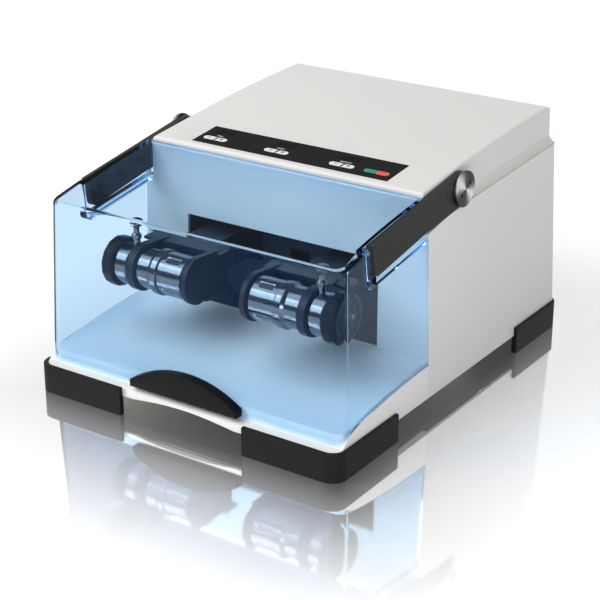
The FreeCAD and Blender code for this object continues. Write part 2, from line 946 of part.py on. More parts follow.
def vent_slots():
    """Long slots in the rear wall, in front of the fan."""
    slots = []
    for number in range(VENT_COUNT):
        level = s.fan_z + s.vent_pitch * (number - (VENT_COUNT - 1) / 2)
        slots.append(box(f"vent_slot_{number}", centred(s.fan_x, s.vent_half_width),
                         (s.base_rear_y - s.overrun * 3, s.base_rear_y + s.overrun),
                         centred(level, s.vent_height / 2)))
    return slots


def cover_tabs():
    """Upright tabs at the rear that the cover is screwed to."""
    tabs = []
    rear_y = s.cover_rear_y - s.cover_wall - s.seat_gap
    for side in SIDES.values():
        x = span(side, *centred(s.cover_screw_x, s.tab_half_width))
        upright = box("cover_tab", x, (rear_y - s.tab_thickness, rear_y),
                      (s.ledge_rear_z - s.ledge_land * 2, s.tab_top))
        hole = cylinder("tab_hole", s.cover_screw_radius + s.slip_gap,
                        (s.cover_screw_x * side, s.cover_screw_z),
                        (rear_y - s.tab_thickness - s.overrun, rear_y + s.overrun), "y")
        tabs.append(cut("cover_tab_drilled", upright, hole))
    return tabs


def cover_shape(name, inset, wall):
    """The cover's form, full size or smaller by its wall."""
    front_y = s.cover_front_y + wall
    lift = s.seat_gap if as_size(wall).value == 0 else -s.overrun
    side = prism(f"{name}_side", "yz", [
        (front_y, s.cover_front_z - wall),
        (s.cover_bend_y, s.cover_bend_z - wall, -s.cover_top_radius),
        (s.base_rear_y, s.cover_rear_z - wall),
    ] + ledge_line(lift, s.seam_y), -s.base_width, s.base_width)
    slab = drafted_slab(f"{name}_slab", inset + wall, (front_y, s.cover_rear_y - wall),
                        (s.ledge_front_z - s.overrun * 2, s.cover_rear_z + s.overrun))
    return common(f"{name}_form", side, slab)


def slope_angle():
    """The pitch of the cover's flat front part, in degrees."""
    rise = s.cover_bend_z - s.cover_front_z
    run = s.cover_bend_y - s.cover_front_y
    return math.degrees(math.atan2(rise.value, run.value))


def on_slope(item):
    """Lay an object built in the keypad's own plane onto the cover's slope."""
    return place(item, (0, s.cover_front_y, s.cover_front_z), Rotation(Vector(1, 0, 0), slope_angle()))


def corners(x, y):
    """The four corners of a rectangle."""
    return [(x[0], y[0]), (x[1], y[0]), (x[1], y[1]), (x[0], y[1])]


def slope_box(name, x, along, height):
    """A cutting block in the keypad's plane."""
    body = new_body(name)
    pad(body, "xy", corners(x, along), *height)
    return on_slope(body)


def mirrored(outline, sx, sy):
    """The outline mirrored across either axis; an arc's side follows."""
    turned = []
    for point in outline:
        bend = (point[2] * (sx * sy),) if len(point) == 3 else ()
        turned.append((point[0] * sx, point[1] * sy) + bend)
    return turned


def cove(side):
    """The soft hollow between the cover's side and the ledge, behind the lid arm."""
    foot_z = s.ledge_bend_z + s.seat_gap
    wall_x = half_width(foot_z, s.ledge_width)
    outline = [
        (-s.part_gap - s.cover_wall / 2, s.slip_gap),
        (s.cove_reach, s.slip_gap),
        (s.cove_reach, s.slip_gap + s.part_gap, -s.cove_radius),
        (-s.slip_gap, s.cove_reach + s.part_gap),
        (-s.part_gap - s.cover_wall / 2, s.cove_reach + s.part_gap),
    ]
    sketch = doc.addObject("Sketcher::SketchObject", "cove_outline")
    draw_ring(sketch, mirrored(outline, side, 1))
    rise = s.ledge_rear_z - s.ledge_bend_z
    run = s.base_rear_y + s.overrun - s.ledge_bend_y
    ledge_slope = rise / run
    start_y = s.cove_start_y
    start_z = foot_z + ledge_slope * (start_y - s.ledge_bend_y)
    place(sketch, (wall_x * side, start_y, start_z), PLANES["xz"])
    item = doc.addObject("Part::Extrusion", "cove_strip")
    item.Base = sketch
    item.DirMode = "Custom"
    length = s.cover_rear_y - s.cove_start_y
    climb = ledge_slope.value
    item.Dir = Vector(-s.draft_share.value * climb * side, 1, climb)
    item.Solid = True
    bind(item, "LengthFwd", length * math.sqrt(1 + climb * climb))
    return item


def make_top_cover():
    """Sloping cover, inset from the housing, with seats for keypad and lid pins."""
    outside = cover_shape("cover_outside", s.ledge_width, as_size(0))
    doc.recompute()
    top = outside.Shape.BoundBox.ZMax
    half = half_width(s.cover_rear_z, s.ledge_width).value

    def upper_edge(edge):
        middle = edge.CenterOfMass
        beside = abs(abs(middle.x) - half) < s.cover_wall.value and middle.z > s.cover_front_z.value
        behind = near(middle.y, s.cover_rear_y) and top - middle.z < s.cover_wall.value
        ahead = near(middle.y, s.cover_front_y) and near(middle.z, s.cover_front_z)
        return (beside and not runs_along(edge, "z")) or behind or ahead

    rounded = round_edges("cover_rounded", outside, s.cover_edge_radius, upper_edge)
    inside = cover_shape("cover_inside", s.ledge_width, s.cover_wall)
    shell = cut("cover_shell", fuse("cover_solid", rounded, cove(-1), cove(1)), inside)
    bosses = []
    holes = []
    side_x = half_width(s.pivot_z, s.ledge_width)
    for side in SIDES.values():
        boss_x = span(side, side_x - s.cover_wall / 2 - s.cover_boss_length, side_x - s.cover_wall / 2)
        bosses.append(cylinder("pivot_boss", s.cover_boss_radius, (s.pivot_y, s.pivot_z), boss_x, "x"))
        hole_x = span(side, side_x - s.cover_boss_length - s.overrun, side_x + s.overrun)
        holes.append(cylinder("pivot_hole", s.pivot_pin_radius + s.slip_gap, (s.pivot_y, s.pivot_z),
                              hole_x, "x"))
        holes.append(cylinder("cover_screw_hole", s.cover_screw_radius + s.slip_gap,
                              (s.cover_screw_x * side, s.cover_screw_z),
                              (s.cover_rear_y - s.overrun, s.cover_rear_y + s.overrun), "y"))
    recess = slope_box("keypad_recess", centred(0, s.pad_half_width + s.seat_gap),
                       (s.pad_near - s.seat_gap, s.pad_far + s.seat_gap), (-s.pad_sunk, s.overrun))
    slots = []
    for name, x, near_edge, far_edge in key_places():
        grow = s.key_flange + s.key_gap
        slots.append(slope_box(f"{name}_opening", centred(x, s.key_width / 2 + grow),
                               (near_edge - grow, far_edge + grow), (-s.overrun, s.overrun)))
    cover = cut("top_cover", fuse("cover_with_bosses", shell, *bosses), *holes, recess, *slots)
    return keep(cover, "top_cover")


def key_places():
    """Name, middle X, near edge and far edge of each key in the keypad's plane."""
    names = (("time_minus", "time_plus"), ("speed_minus", "speed_plus"),
             ("memory_minus", "memory_plus"), ("start", "stop"))
    middles = (s.first_pair_x, s.second_pair_x, s.third_pair_x, s.run_pair_x)
    places = []
    for pair, middle in zip(names, middles):
        for name, sign in zip(pair, KEY_SIGNS):
            x = middle + sign * (s.key_width + s.key_split) / 2
            places.append((f"{name}_key", x, s.key_row - s.key_depth / 2, s.key_row + s.key_depth / 2))
    return places


def key_outline(x, sign, grow, split_grow):
    """One half of a pill, square at the split and round at the outer end, grown there and outside."""
    radius = s.key_depth / 2 + grow
    inner = x - sign * (s.key_width / 2 + split_grow)
    outer = x + sign * (s.key_width / 2 - s.key_depth / 2)
    near_edge = s.key_row - radius
    far_edge = s.key_row + radius
    if sign > 0:
        return [(inner, near_edge), (outer, near_edge, radius), (outer, far_edge), (inner, far_edge)]
    return [(inner, far_edge), (outer, far_edge, radius), (outer, near_edge), (inner, near_edge)]


def make_keys():
    """Eight keys that travel square to the sloping keypad, each held by a flange below it."""
    top = s.pad_thickness - s.pad_sunk + s.key_proud
    shelf = -s.pad_sunk - s.seat_gap
    for number, (name, x, _, _) in enumerate(key_places()):
        sign = KEY_SIGNS[number % 2]
        body = new_body(name)
        zero = as_size(0)
        pad(body, "xy", key_outline(x, sign, zero, zero), shelf - s.key_tail, top)
        pad(body, "xy", key_outline(x, sign, s.key_flange, zero), shelf - s.key_flange_height, shelf)
        keep(on_slope(body), name)


def make_keypad():
    """Black panel with openings for the keys and windows."""
    body = new_body("keypad")
    half = s.pad_half_width
    bottom = -s.pad_sunk
    top = s.pad_thickness - s.pad_sunk
    pad(body, "xy", corners((-half, half), (s.pad_near, s.pad_far)), bottom, top)
    for number, (_, x, _, _) in enumerate(key_places()):
        pocket(body, "xy", key_outline(x, KEY_SIGNS[number % 2], s.key_gap, s.key_gap),
               bottom - s.part_gap, top + s.part_gap)
    for middle in window_middles():
        pocket(body, "xy", window_outline(middle, s.slip_gap), top - s.window_thickness, top + s.part_gap)
    return keep(on_slope(body), "keypad_panel")


def window_middles():
    return s.first_pair_x, s.second_pair_x, s.third_pair_x


def window_outline(middle, grow):
    return corners(centred(middle, s.window_width / 2 + grow),
                   centred(s.window_row, s.window_depth / 2 + grow))


def make_windows():
    """Dark display windows let into the keypad."""
    panes = []
    top = s.pad_thickness - s.pad_sunk
    for middle in window_middles():
        body = new_body("window")
        pad(body, "xy", window_outline(middle, as_size(0)), top - s.window_thickness + s.slip_gap, top)
        panes.append(on_slope(body))
    return keep(group("display_windows", *panes), "display_windows")


def make_control_board():
    """Circuit board under the keypad, hung from the cover on spacers."""
    top = -s.board_drop
    bottom = top - s.board_thickness
    body = new_body("board")
    half = s.board_half_width
    pad(body, "xy", corners((-half, half), (s.board_near, s.board_far)), bottom, top)
    for x in (-half + s.spacer_inset, half - s.spacer_inset):
        for row in (s.board_near + s.spacer_inset, s.board_far - s.spacer_inset):
            pad_disc(body, "xy", (x, row), s.spacer_radius, top, -s.cover_wall - s.part_gap)
    for middle in window_middles():
        row = s.key_row + s.chip_size
        pad(body, "xy", corners(centred(middle, s.chip_size), (row, row + s.chip_size)),
            bottom - s.chip_height, bottom)
    return keep(on_slope(body), "control_board")


def make_base_plate():
    """Sheet that closes the housing from below."""
    sheet = box("base_sheet", centred(0, s.plate_half_width), centred(0, s.plate_half_length),
                (s.plate_bottom, s.plate_bottom + s.plate_thickness))
    reach = (s.plate_bottom - s.overrun, s.plate_bottom + s.overrun)
    holes = [cylinder("plate_hole", s.case_screw_radius + s.slip_gap, at, reach) for at in foot_bosses()]
    return keep(cut("base_plate", sheet, *holes), "base_plate")


def foot_bosses():
    x = s.foot_half_width - s.foot_boss_inset_x
    y = s.foot_half_length - s.foot_boss_inset_y
    return [(-x, -y), (x, -y), (-x, y), (x, y)]


def make_foot(name, sx, sy, leg_y):
    """Black corner foot: an upright lip round the corner and a block with a screw boss."""
    outer_x = s.foot_half_width
    outer_y = s.foot_half_length
    inner_x = outer_x - s.foot_wall
    inner_y = outer_y - s.foot_wall
    big = s.foot_corner_radius
    small = big - s.foot_wall
    outline = [
        (outer_x - s.foot_leg_x, -outer_y),
        (outer_x - big, -outer_y, big),
        (outer_x, -outer_y + big),
        (outer_x, -outer_y + leg_y),
        (inner_x, -outer_y + leg_y),
        (inner_x, -inner_y + small, -small),
        (inner_x - small, -inner_y),
        (outer_x - s.foot_leg_x, -inner_y),
    ]
    lip = prism(f"{name}_lip", "xy", mirrored(outline, sx, -sy), 0, s.foot_height)
    doc.recompute()
    top = s.foot_height.value
    gap = s.part_gap.value

    def outer_top(edge):
        middle = edge.CenterOfMass
        outside = abs(middle.x) > inner_x.value + gap or abs(middle.y) > inner_y.value + gap
        flat = all(abs(v.Point.z - top) < s.slip_gap.value for v in edge.Vertexes)
        return flat and outside and edge.Length > s.foot_wall.value + gap

    eased = round_edges(f"{name}_eased", lip, s.foot_edge, outer_top)
    block_x = span(sx, outer_x - s.foot_block, inner_x + s.part_gap)
    block_y = span(sy, outer_y - s.foot_block, inner_y + s.part_gap)
    block = box(f"{name}_block", block_x, block_y, (as_size(0), s.base_bottom))
    corner = box(f"{name}_corner", span(sx, outer_x - big, outer_x), span(sy, outer_y - big, outer_y),
                 (as_size(0), s.foot_height))
    round_at = ((outer_x - big) * sx, (outer_y - big) * sy)
    post = cylinder(f"{name}_corner_post", big - s.slip_gap, round_at, (as_size(0), s.base_bottom))
    inner_block = cut(f"{name}_block_cut", block, corner)
    boss_at = ((outer_x - s.foot_boss_inset_x) * sx, (outer_y - s.foot_boss_inset_y) * sy)
    boss = cylinder(f"{name}_boss", s.foot_boss_radius, boss_at,
                    (s.base_bottom - s.overrun, s.plate_bottom))
    solid = cut(f"{name}_stepped", eased, housing_step(name, sy))
    body = fuse(f"{name}_solid", solid, inner_block, post, boss)
    recess = cylinder(f"{name}_recess", s.foot_recess_radius, boss_at, (-s.overrun, s.foot_recess_depth))
    bore = cylinder(f"{name}_bore", s.case_screw_radius + s.slip_gap, boss_at,
                    (-s.overrun, s.foot_height))
    return keep(cut(name, body, recess, bore), name)


def housing_step(name, sy):
    """The housing's corner with a small gap, which the foot's lip wraps round."""
    rear_share = s.draft_share if sy > 0 else 0
    slab = drafted_slab(f"{name}_step", -s.seat_gap,
                        (s.base_front_y - s.seat_gap, s.base_rear_y + s.seat_gap),
                        (s.base_bottom, s.foot_height + s.overrun), 0, rear_share)
    if sy > 0:
        return round_rear(f"{name}_step_rounded", slab, s.housing_rear_radius)
    return round_front(f"{name}_step_rounded", slab, s.base_corner_radius)


def make_feet():
    for side_name, sx in SIDES.items():
        make_foot(f"front_{side_name}_foot", sx, -1, s.front_foot_leg_y)
        make_foot(f"rear_{side_name}_foot", sx, 1, s.rear_foot_leg_y)


def make_base_screws():
    """Four screws up through the feet into the base plate."""
    screws = []
    for number, (x, y) in enumerate(foot_bosses()):
        head = cylinder(f"base_screw_head_{number}", s.case_screw_head_radius, (x, y),
                        (s.foot_recess_depth - s.case_screw_head_height, s.foot_recess_depth))
        shank = cylinder(f"base_screw_shank_{number}", s.case_screw_radius, (x, y),
                         (s.foot_recess_depth - s.part_gap, s.plate_bottom + s.plate_thickness))
        screws.append(fuse(f"base_screw_{number}", head, shank))
    return keep(group("base_screws", *screws), "base_screws")


def make_cover_screws():
    """Two screws that hold the cover to the housing's rear tabs."""
    screws = []
    for side in SIDES.values():
        across = (s.cover_screw_x * side, s.cover_screw_z)
        head = cylinder("cover_screw_head", s.cover_screw_radius * 2, across,
                        (s.cover_rear_y + s.slip_gap, s.cover_rear_y + s.cover_screw_radius), "y")
        shank = cylinder("cover_screw_shank", s.cover_screw_radius, across,
                         (s.cover_rear_y - s.cover_screw_reach, s.cover_rear_y + s.part_gap), "y")
        screws.append(fuse("cover_screw", head, shank))
    return keep(group("cover_screws", *screws), "cover_screws")


# Lid

def lid_form(name, wall):
    """The lid's outside, or its inside when a wall is given."""
    rear_y = s.lid_rear_y if as_size(wall).value == 0 else s.lid_rear_y + s.overrun
    lean = s.lid_front_share * (s.seat_front_z - s.base_bottom)
    if as_size(wall).value == 0:
        front, knee, rear = seat_line(0, rear_y)
        lower = [rear + (s.seat_side_radius,), knee[:2] + (s.seat_front_radius,), front[:2],
                 (s.base_front_y, s.seat_front_z)]
    else:
        lower = [(rear_y, 0), (s.base_front_y, 0)]
    side = prism(f"{name}_side", "yz", [
        (s.base_front_y, s.lid_front_top_z - wall),
        (s.seat_front_y + s.overrun, s.lid_front_top_z - wall, -s.lid_top_radius),
        (rear_y, s.lid_rear_z - wall),
    ] + lower, -s.base_width, s.base_width)
    slab = drafted_slab(f"{name}_slab", wall, (s.seat_front_y - lean + wall, rear_y + s.overrun),
                        (s.base_bottom - s.overrun, s.lid_rear_z + s.overrun), s.lid_front_share)
    plan = round_front(f"{name}_plan", slab, s.lid_corner_radius - wall)
    form = common(f"{name}_form", side, plan)
    doc.recompute()

    def upper_edge(edge):
        middle = edge.CenterOfMass
        high = middle.z > s.lid_front_top_z.value - wall.value - s.overrun.value
        inner_seam = runs_along(edge, "x") and middle.y > s.seat_front_y.value + s.overrun.value / 2
        behind = near(middle.y, rear_y)
        return high and not behind and not inner_seam and not runs_along(edge, "z")

    radius = s.lid_bend_radius if wall.value == 0 else s.lid_inner_bend_radius
    return round_edges(f"{name}_rounded", form, radius, upper_edge)


def arm_recess(name, side, wall):
    """The pocket in the lid's side that holds the arm, wider by the wall for the inside cut."""
    points = [
        (s.recess_front_y - s.recess_lean - wall, s.lid_rear_z + s.overrun * 2),
        (s.recess_front_y - wall, s.recess_front_z - wall),
        (s.recess_rear_y, s.recess_rear_z - wall),
        (s.recess_rear_y, s.lid_rear_z + s.overrun * 2),
    ]
    x = span(side, s.recess_x - wall, s.base_width / 2 + s.overrun)
    block = prism(name, "yz", points, *x)
    doc.recompute()

    def lower_corner(edge):
        return runs_along(edge, "x") and near(edge.CenterOfMass.z, s.recess_front_z - wall)

    return round_edges(f"{name}_rounded", block, s.recess_corner_radius, lower_corner)


def make_lid_shell():
    """Transparent lid, open below and behind, with a pocket in each side for its arm."""
    zero = as_size(0)
    outside = lid_form("lid_outside", zero)
    inside = lid_form("lid_inside", s.lid_wall)
    outer_cuts = [arm_recess(f"lid_{name}_recess", side, zero) for name, side in SIDES.items()]
    inner_cuts = [arm_recess(f"lid_{name}_pocket", side, s.lid_wall) for name, side in SIDES.items()]
    holes = []
    for side in SIDES.values():
        x = span(side, s.recess_x - s.lid_wall - s.overrun, s.recess_x + s.overrun)
        for place_yz in arm_screw_places():
            holes.append(cylinder("arm_screw_hole", s.arm_screw_radius + s.slip_gap, place_yz, x, "x"))
    hollow = cut("lid_hollow", inside, *inner_cuts)
    return keep(cut("lid_shell", outside, *outer_cuts, hollow, *holes), "lid_shell")


def arm_screw_places():
    front = (s.arm_screw_front_y, s.arm_screw_front_z)
    rear = (s.arm_screw_rear_y, s.arm_screw_rear_z)
    middle = ((front[0] + rear[0]) / 2, (front[1] + rear[1]) / 2)
    return front, middle, rear


def make_lid_arm(side_name, side):
    """Flat black arm from the lid's pocket back to the hinge pin."""
    low, high = span(side, s.arm_x, s.arm_x + s.arm_thickness)
    blade = prism(f"{side_name}_arm_blade", "yz", [
        (s.arm_front_y, s.arm_front_z),
        (s.arm_toe_y, s.arm_toe_z + s.arm_toe_radius, s.arm_toe_radius),
        (s.arm_toe_y + s.arm_toe_radius, s.arm_toe_z + s.arm_toe_lift),
        (s.arm_waist_y, s.arm_waist_z),
        (s.pivot_y, s.pivot_z - s.arm_end_radius),
        (s.pivot_y, s.pivot_z + s.arm_end_radius),
    ], low, high)
    end = cylinder(f"{side_name}_arm_end", s.arm_end_radius, (s.pivot_y, s.pivot_z), (low, high), "x")
    bore = cylinder(f"{side_name}_arm_bore", s.pivot_pin_radius + s.slip_gap, (s.pivot_y, s.pivot_z),
                    (low - s.overrun, high + s.overrun), "x")
    holes = [bore]
    reach = span(side, s.arm_x - s.part_gap, s.arm_x + s.arm_screw_reach + s.part_gap)
    for place_yz in arm_screw_places():
        holes.append(cylinder(f"{side_name}_arm_screw_bore", s.arm_screw_radius + s.slip_gap, place_yz,
                              reach, "x"))
    arm = cut(f"{side_name}_lid_arm", fuse(f"{side_name}_arm_solid", blade, end), *holes)
    return keep(arm, f"{side_name}_lid_arm")


def make_arm_screws():
    """Screws from inside the lid into the arms, three a side."""
    screws = []
    inner_x = s.recess_x - s.lid_wall
    head_x = inner_x - s.slip_gap
    for side in SIDES.values():
        for place_yz in arm_screw_places():
            head = cylinder("arm_screw_head", s.arm_screw_head_radius, place_yz,
                            span(side, head_x - s.arm_screw_head_height, head_x), "x")
            shank = cylinder("arm_screw_shank", s.arm_screw_radius, place_yz,
                             span(side, inner_x - s.part_gap, s.arm_x + s.arm_screw_reach), "x")
            screws.append(fuse("arm_screw", head, shank))
    return keep(group("arm_screws", *screws), "arm_screws")


def make_lid_handle():
    """Crescent grip on the lid's front, square at the foot and arched above."""
    half = s.handle_half_width
    crescent = prism("handle_crescent", "xz", [
        (-half, s.handle_bottom),
        (half, s.handle_bottom),
        (half, s.handle_bottom + s.handle_end_height, s.handle_radius),
        (-half, s.handle_bottom + s.handle_end_height),
    ], s.handle_front_y, s.seat_front_y + s.overrun)
    doc.recompute()

    def front_edge(edge):
        return all(near(v.Point.y, s.handle_front_y) for v in edge.Vertexes)

    eased = round_edges("handle_eased", crescent, s.handle_edge, front_edge)
    lean = s.lid_front_share * (s.seat_front_z - s.base_bottom)
    slab = drafted_slab("handle_back", -s.overrun, (s.seat_front_y - lean - s.slip_gap, s.lid_rear_y),
                        (s.base_bottom, s.lid_rear_z), s.lid_front_share)
    return keep(cut("lid_handle", eased, slab), "lid_handle")


def make_hinge_pins():
    """Two pins with turned disc heads, each with two spanner holes."""
    pins = []
    for side in SIDES.values():
        outer = s.arm_x + s.arm_thickness
        head_x = outer + s.pivot_head_gap
        at = (s.pivot_y, s.pivot_z)
        face_x = head_x + s.pivot_head_thickness
        shank = cylinder("pin_shank", s.pivot_pin_radius, at,
                         span(side, outer - s.pivot_pin_length, head_x + s.part_gap), "x")
        head = cylinder("pin_head", s.pivot_head_radius, at, span(side, head_x, face_x), "x")

        def outer_rim(edge):
            return abs(abs(edge.CenterOfMass.x) - face_x.value) < s.slip_gap.value

        rim = round_edges("pin_head_eased", head, s.pivot_head_edge, outer_rim, "Part::Chamfer")
        holes = []
        for sign in KEY_SIGNS:
            spot = (s.pivot_y + sign * s.spanner_y, s.pivot_z + sign * s.spanner_z)
            holes.append(cylinder("spanner_hole", s.spanner_hole_radius, spot,
                                  span(side, face_x - s.spanner_hole_depth, face_x + s.overrun), "x"))
        pins.append(cut("hinge_pin", fuse("hinge_pin_solid", shank, rim), *holes))
    return keep(group("lid_hinge_pins", *pins), "lid_hinge_pins")


# Chamber guard and grinding stations

def make_guard_liner():
    """Dark tray behind the chamber's opening, slotted for the two arms."""
    half = s.guard_half_width
    front_y = s.seam_y + s.shell_wall + s.seat_gap
    wall = s.guard_wall
    outer = box("guard_outer", centred(0, half + wall), (front_y, s.guard_back_y + wall),
                (s.guard_bottom - wall, s.guard_top + wall))
    inner = box("guard_inner", centred(0, half), (front_y - s.overrun, s.guard_back_y),
                (s.guard_bottom, s.guard_top))
    tools = []
    shelves = []
    shelf_box = box("guard_shelf_limit", centred(0, half + wall / 2), (front_y, s.guard_back_y + wall / 2),
                    (s.guard_bottom, s.guard_top + wall / 2))
    for side in SIDES.values():
        x = span(side, *centred(s.rocker_x, s.guard_slot_half))
        tools.append(box("guard_slot", x, (s.guard_back_y - s.overrun, s.guard_back_y + s.overrun),
                         (s.guard_slot_bottom, s.guard_top - s.guard_shelf_height)))
        for step in range(SHELF_STEPS):
            radius = s.guard_shelf_radius - s.guard_shelf_step * step
            level = (s.guard_top - s.guard_shelf_height * (step + 1),
                     s.guard_top - s.guard_shelf_height * step + wall / 2)
            shelves.append(cylinder("guard_shelf", radius, (s.rocker_x * side, s.rocker_y), level))
    tools.append(box("guard_port", centred(0, s.guard_port_half),
                     (s.guard_back_y - s.overrun, s.guard_back_y + s.overrun),
                     (s.guard_port_bottom, s.guard_port_top)))
    tray = cut("guard_tray", outer, inner, *tools)
    shelf = common("guard_shelves", fuse("guard_discs", *shelves), shelf_box)
    return keep(fuse("guard_liner", tray, shelf), "guard_liner")


def cheek_outline():
    """A cheek of the jar's holder seen from the side: round in front, square behind."""
    y = s.jar_y
    z = s.jar_z
    return [
        (y, z - s.cheek_radius),
        (s.beam_rear_y, s.beam_bottom),
        (s.beam_rear_y, s.beam_top),
        (y, z + s.cheek_radius, s.cheek_radius),
    ]


def make_swing_arm(name, side):
    """Cast arm: hub on the rocker shaft, neck, jar holder in front and drive lever behind."""
    body = new_body(f"{name}_swing_arm")
    x = s.rocker_x * side
    pad_disc(body, "xy", (x, s.rocker_y), s.hub_radius, s.hub_bottom, s.hub_top)
    rect(body, (s.rocker_x - s.neck_half_width, s.rocker_x + s.neck_half_width), side,
         (s.beam_rear_y - s.part_gap, s.rocker_y), (s.neck_bottom, s.neck_top))
    rect(body, (s.inner_cheek_x, s.outer_cheek_x + s.outer_cheek_thickness), side,
         (s.beam_front_y, s.beam_rear_y), (s.beam_bottom, s.beam_top))
    inner = span(side, s.inner_cheek_x, s.inner_cheek_x + s.inner_cheek_thickness)
    outer = span(side, s.outer_cheek_x, s.outer_cheek_x + s.outer_cheek_thickness)
    pad(body, "yz", cheek_outline(), *inner)
    pad(body, "yz", cheek_outline(), *outer)
    rect(body, (s.flange_inner_x, s.flange_outer_x), side, (s.flange_front_y, s.flange_rear_y),
         (s.beam_top - s.flange_thickness, s.beam_top))
    rect(body, (s.flange_inner_x, s.inner_cheek_x + s.part_gap), side, (s.rib_front_y, s.beam_rear_y),
         (s.beam_bottom - s.flange_thickness, s.beam_bottom))
    rear_y = s.rocker_y + s.lever_length
    rect(body, (s.rocker_x - s.lever_half_width, s.rocker_x + s.lever_half_width), side,
         (s.rocker_y, rear_y), (s.lever_bottom, s.lever_top))
    pad_disc(body, "xy", (x, rear_y), s.small_end_radius, s.lever_bottom, s.lever_top)
    pin_low, pin_high = lever_pin_range(side)
    pad_disc(body, "xy", (x, rear_y), s.lever_pin_radius, pin_low, pin_high)
    drill(body, "xy", (x, s.rocker_y), s.hub_bore_radius, s.hub_bottom - s.overrun, s.hub_top + s.overrun)
    race = s.hub_race_radius + s.slip_gap
    drill(body, "xy", (x, s.rocker_y), race, s.hub_bottom - s.overrun, s.hub_bottom + s.hub_race_height)
    drill(body, "xy", (x, s.rocker_y), race, s.hub_top - s.hub_race_height, s.hub_top + s.overrun)
    drill(body, "yz", (s.jar_y, s.jar_z), s.pad_bore_radius,
          outer[0] - s.part_gap, outer[1] + s.part_gap)
    return keep(body, f"{name}_swing_arm")


def lever_pin_range(side):
    """The left rod rides above its lever and the right rod below."""
    if side < 0:
        return s.lever_top - s.part_gap, s.lever_top + s.lever_pin_length
    return s.lever_bottom - s.lever_pin_length, s.lever_bottom + s.part_gap


def rect(body, x, side, y, z):
    """A block of a casting, mirrored for the left side."""
    return pad(body, "xy", corners(span(side, *x), y), *z)


def make_arm_bearings(name, side):
    """Two ball races between the arm's hub and its rocker shaft."""
    races = []
    x = s.rocker_x * side
    for low in (s.hub_bottom, s.hub_top - s.hub_race_height):
        ring = ("race", s.hub_race_radius, s.rocker_radius + s.slip_gap)
        races.append(ball_race(ring, (x, s.rocker_y), low, low + s.hub_race_height))
    return keep(group(f"{name}_arm_bearings", *races), f"{name}_arm_bearings")


def ball_race(ring, at, low, high):
    """A sealed bearing: a ring with a shallow groove at each shield."""
    name, outer, inner = ring
    body = cylinder(name, outer, at, (low, high))
    bore = cylinder(f"{name}_bore", inner, at, (low - s.overrun, high + s.overrun))
    groove_out = cylinder(f"{name}_shield", outer - s.race_wall / 2, at,
                          (high - s.part_gap, high + s.overrun))
    groove_in = cylinder(f"{name}_inner", inner + s.race_wall / 2, at, (low, high))
    return cut(f"{name}_ring", body, cut(f"{name}_groove", groove_out, groove_in), bore)


def revolved(name, side, points):
    """A turned piece on the jar's axis, mirrored for the left side."""
    body = new_body(name, (0, s.jar_y, s.jar_z))
    turn(body, [(p[0] * side, p[1]) for p in points])
    return body


def make_jar(name, side):
    """Steel jar cup and its screw cap, both turned, with milled grips."""
    foot = s.jar_inner_x + s.jar_foot_length
    body = revolved(f"{name}_jar", side, [
        (s.jar_inner_x, 0),
        (s.jar_inner_x, s.jar_foot_radius),
        (foot, s.jar_foot_radius),
        (foot, s.jar_radius - s.jar_edge),
        (foot + s.jar_edge, s.jar_radius),
        (s.jar_seam_x - s.jar_edge, s.jar_radius),
        (s.jar_seam_x, s.jar_radius - s.jar_edge),
        (s.jar_seam_x, s.jar_neck_radius),
        (s.jar_seam_x + s.jar_neck_length, s.jar_neck_radius),
        (s.jar_seam_x + s.jar_neck_length, s.jar_bore_radius),
        (s.jar_inner_x + s.jar_floor, s.jar_bore_radius),
        (s.jar_inner_x + s.jar_floor, 0),
    ])
    cut_grips(body, side, s.body_grip_x, s.grip_length, s.jar_radius)
    keep(body, f"{name}_jar_body")
    neck_end = s.jar_seam_x + s.jar_neck_length + s.slip_gap
    seam = s.jar_seam_x + s.slip_gap
    collar = seam + s.cap_collar_length
    body = revolved(f"{name}_cap", side, [
        (seam, s.jar_neck_radius + s.slip_gap),
        (seam, s.cap_collar_radius - s.jar_edge),
        (seam + s.jar_edge, s.cap_collar_radius),
        (collar, s.cap_collar_radius),
        (collar + s.cap_taper_length, s.cap_radius),
        (s.jar_outer_x - s.jar_edge, s.cap_radius),
        (s.jar_outer_x, s.cap_radius - s.jar_edge),
        (s.jar_outer_x, 0),
        (s.jar_outer_x - s.cap_roof, 0),
        (s.jar_outer_x - s.cap_roof, s.jar_bore_radius),
        (neck_end, s.jar_bore_radius),
        (neck_end, s.jar_neck_radius + s.slip_gap),
    ])
    cut_grips(body, side, s.cap_grip_x, s.cap_grip_length, s.cap_radius)
    keep(body, f"{name}_jar_cap")


def cut_grips(body, side, middle, length, radius):
    """Milled finger flats, spread evenly round a turned piece."""
    half_x = length / 2
    half_y = s.grip_width / 2
    end = s.grip_end_radius
    x = middle * side
    ring = [
        (x - half_x + end, -half_y),
        (x + half_x - end, -half_y, end),
        (x + half_x, -half_y + end),
        (x + half_x, half_y - end, end),
        (x + half_x - end, half_y),
        (x - half_x + end, half_y, end),
        (x - half_x, half_y - end),
        (x - half_x, -half_y + end, end),
    ]
    grip = pocket(body, "xy", ring, radius - s.grip_depth, radius + s.part_gap)
    repeat_about_x(body, [grip], GRIP_COUNT)


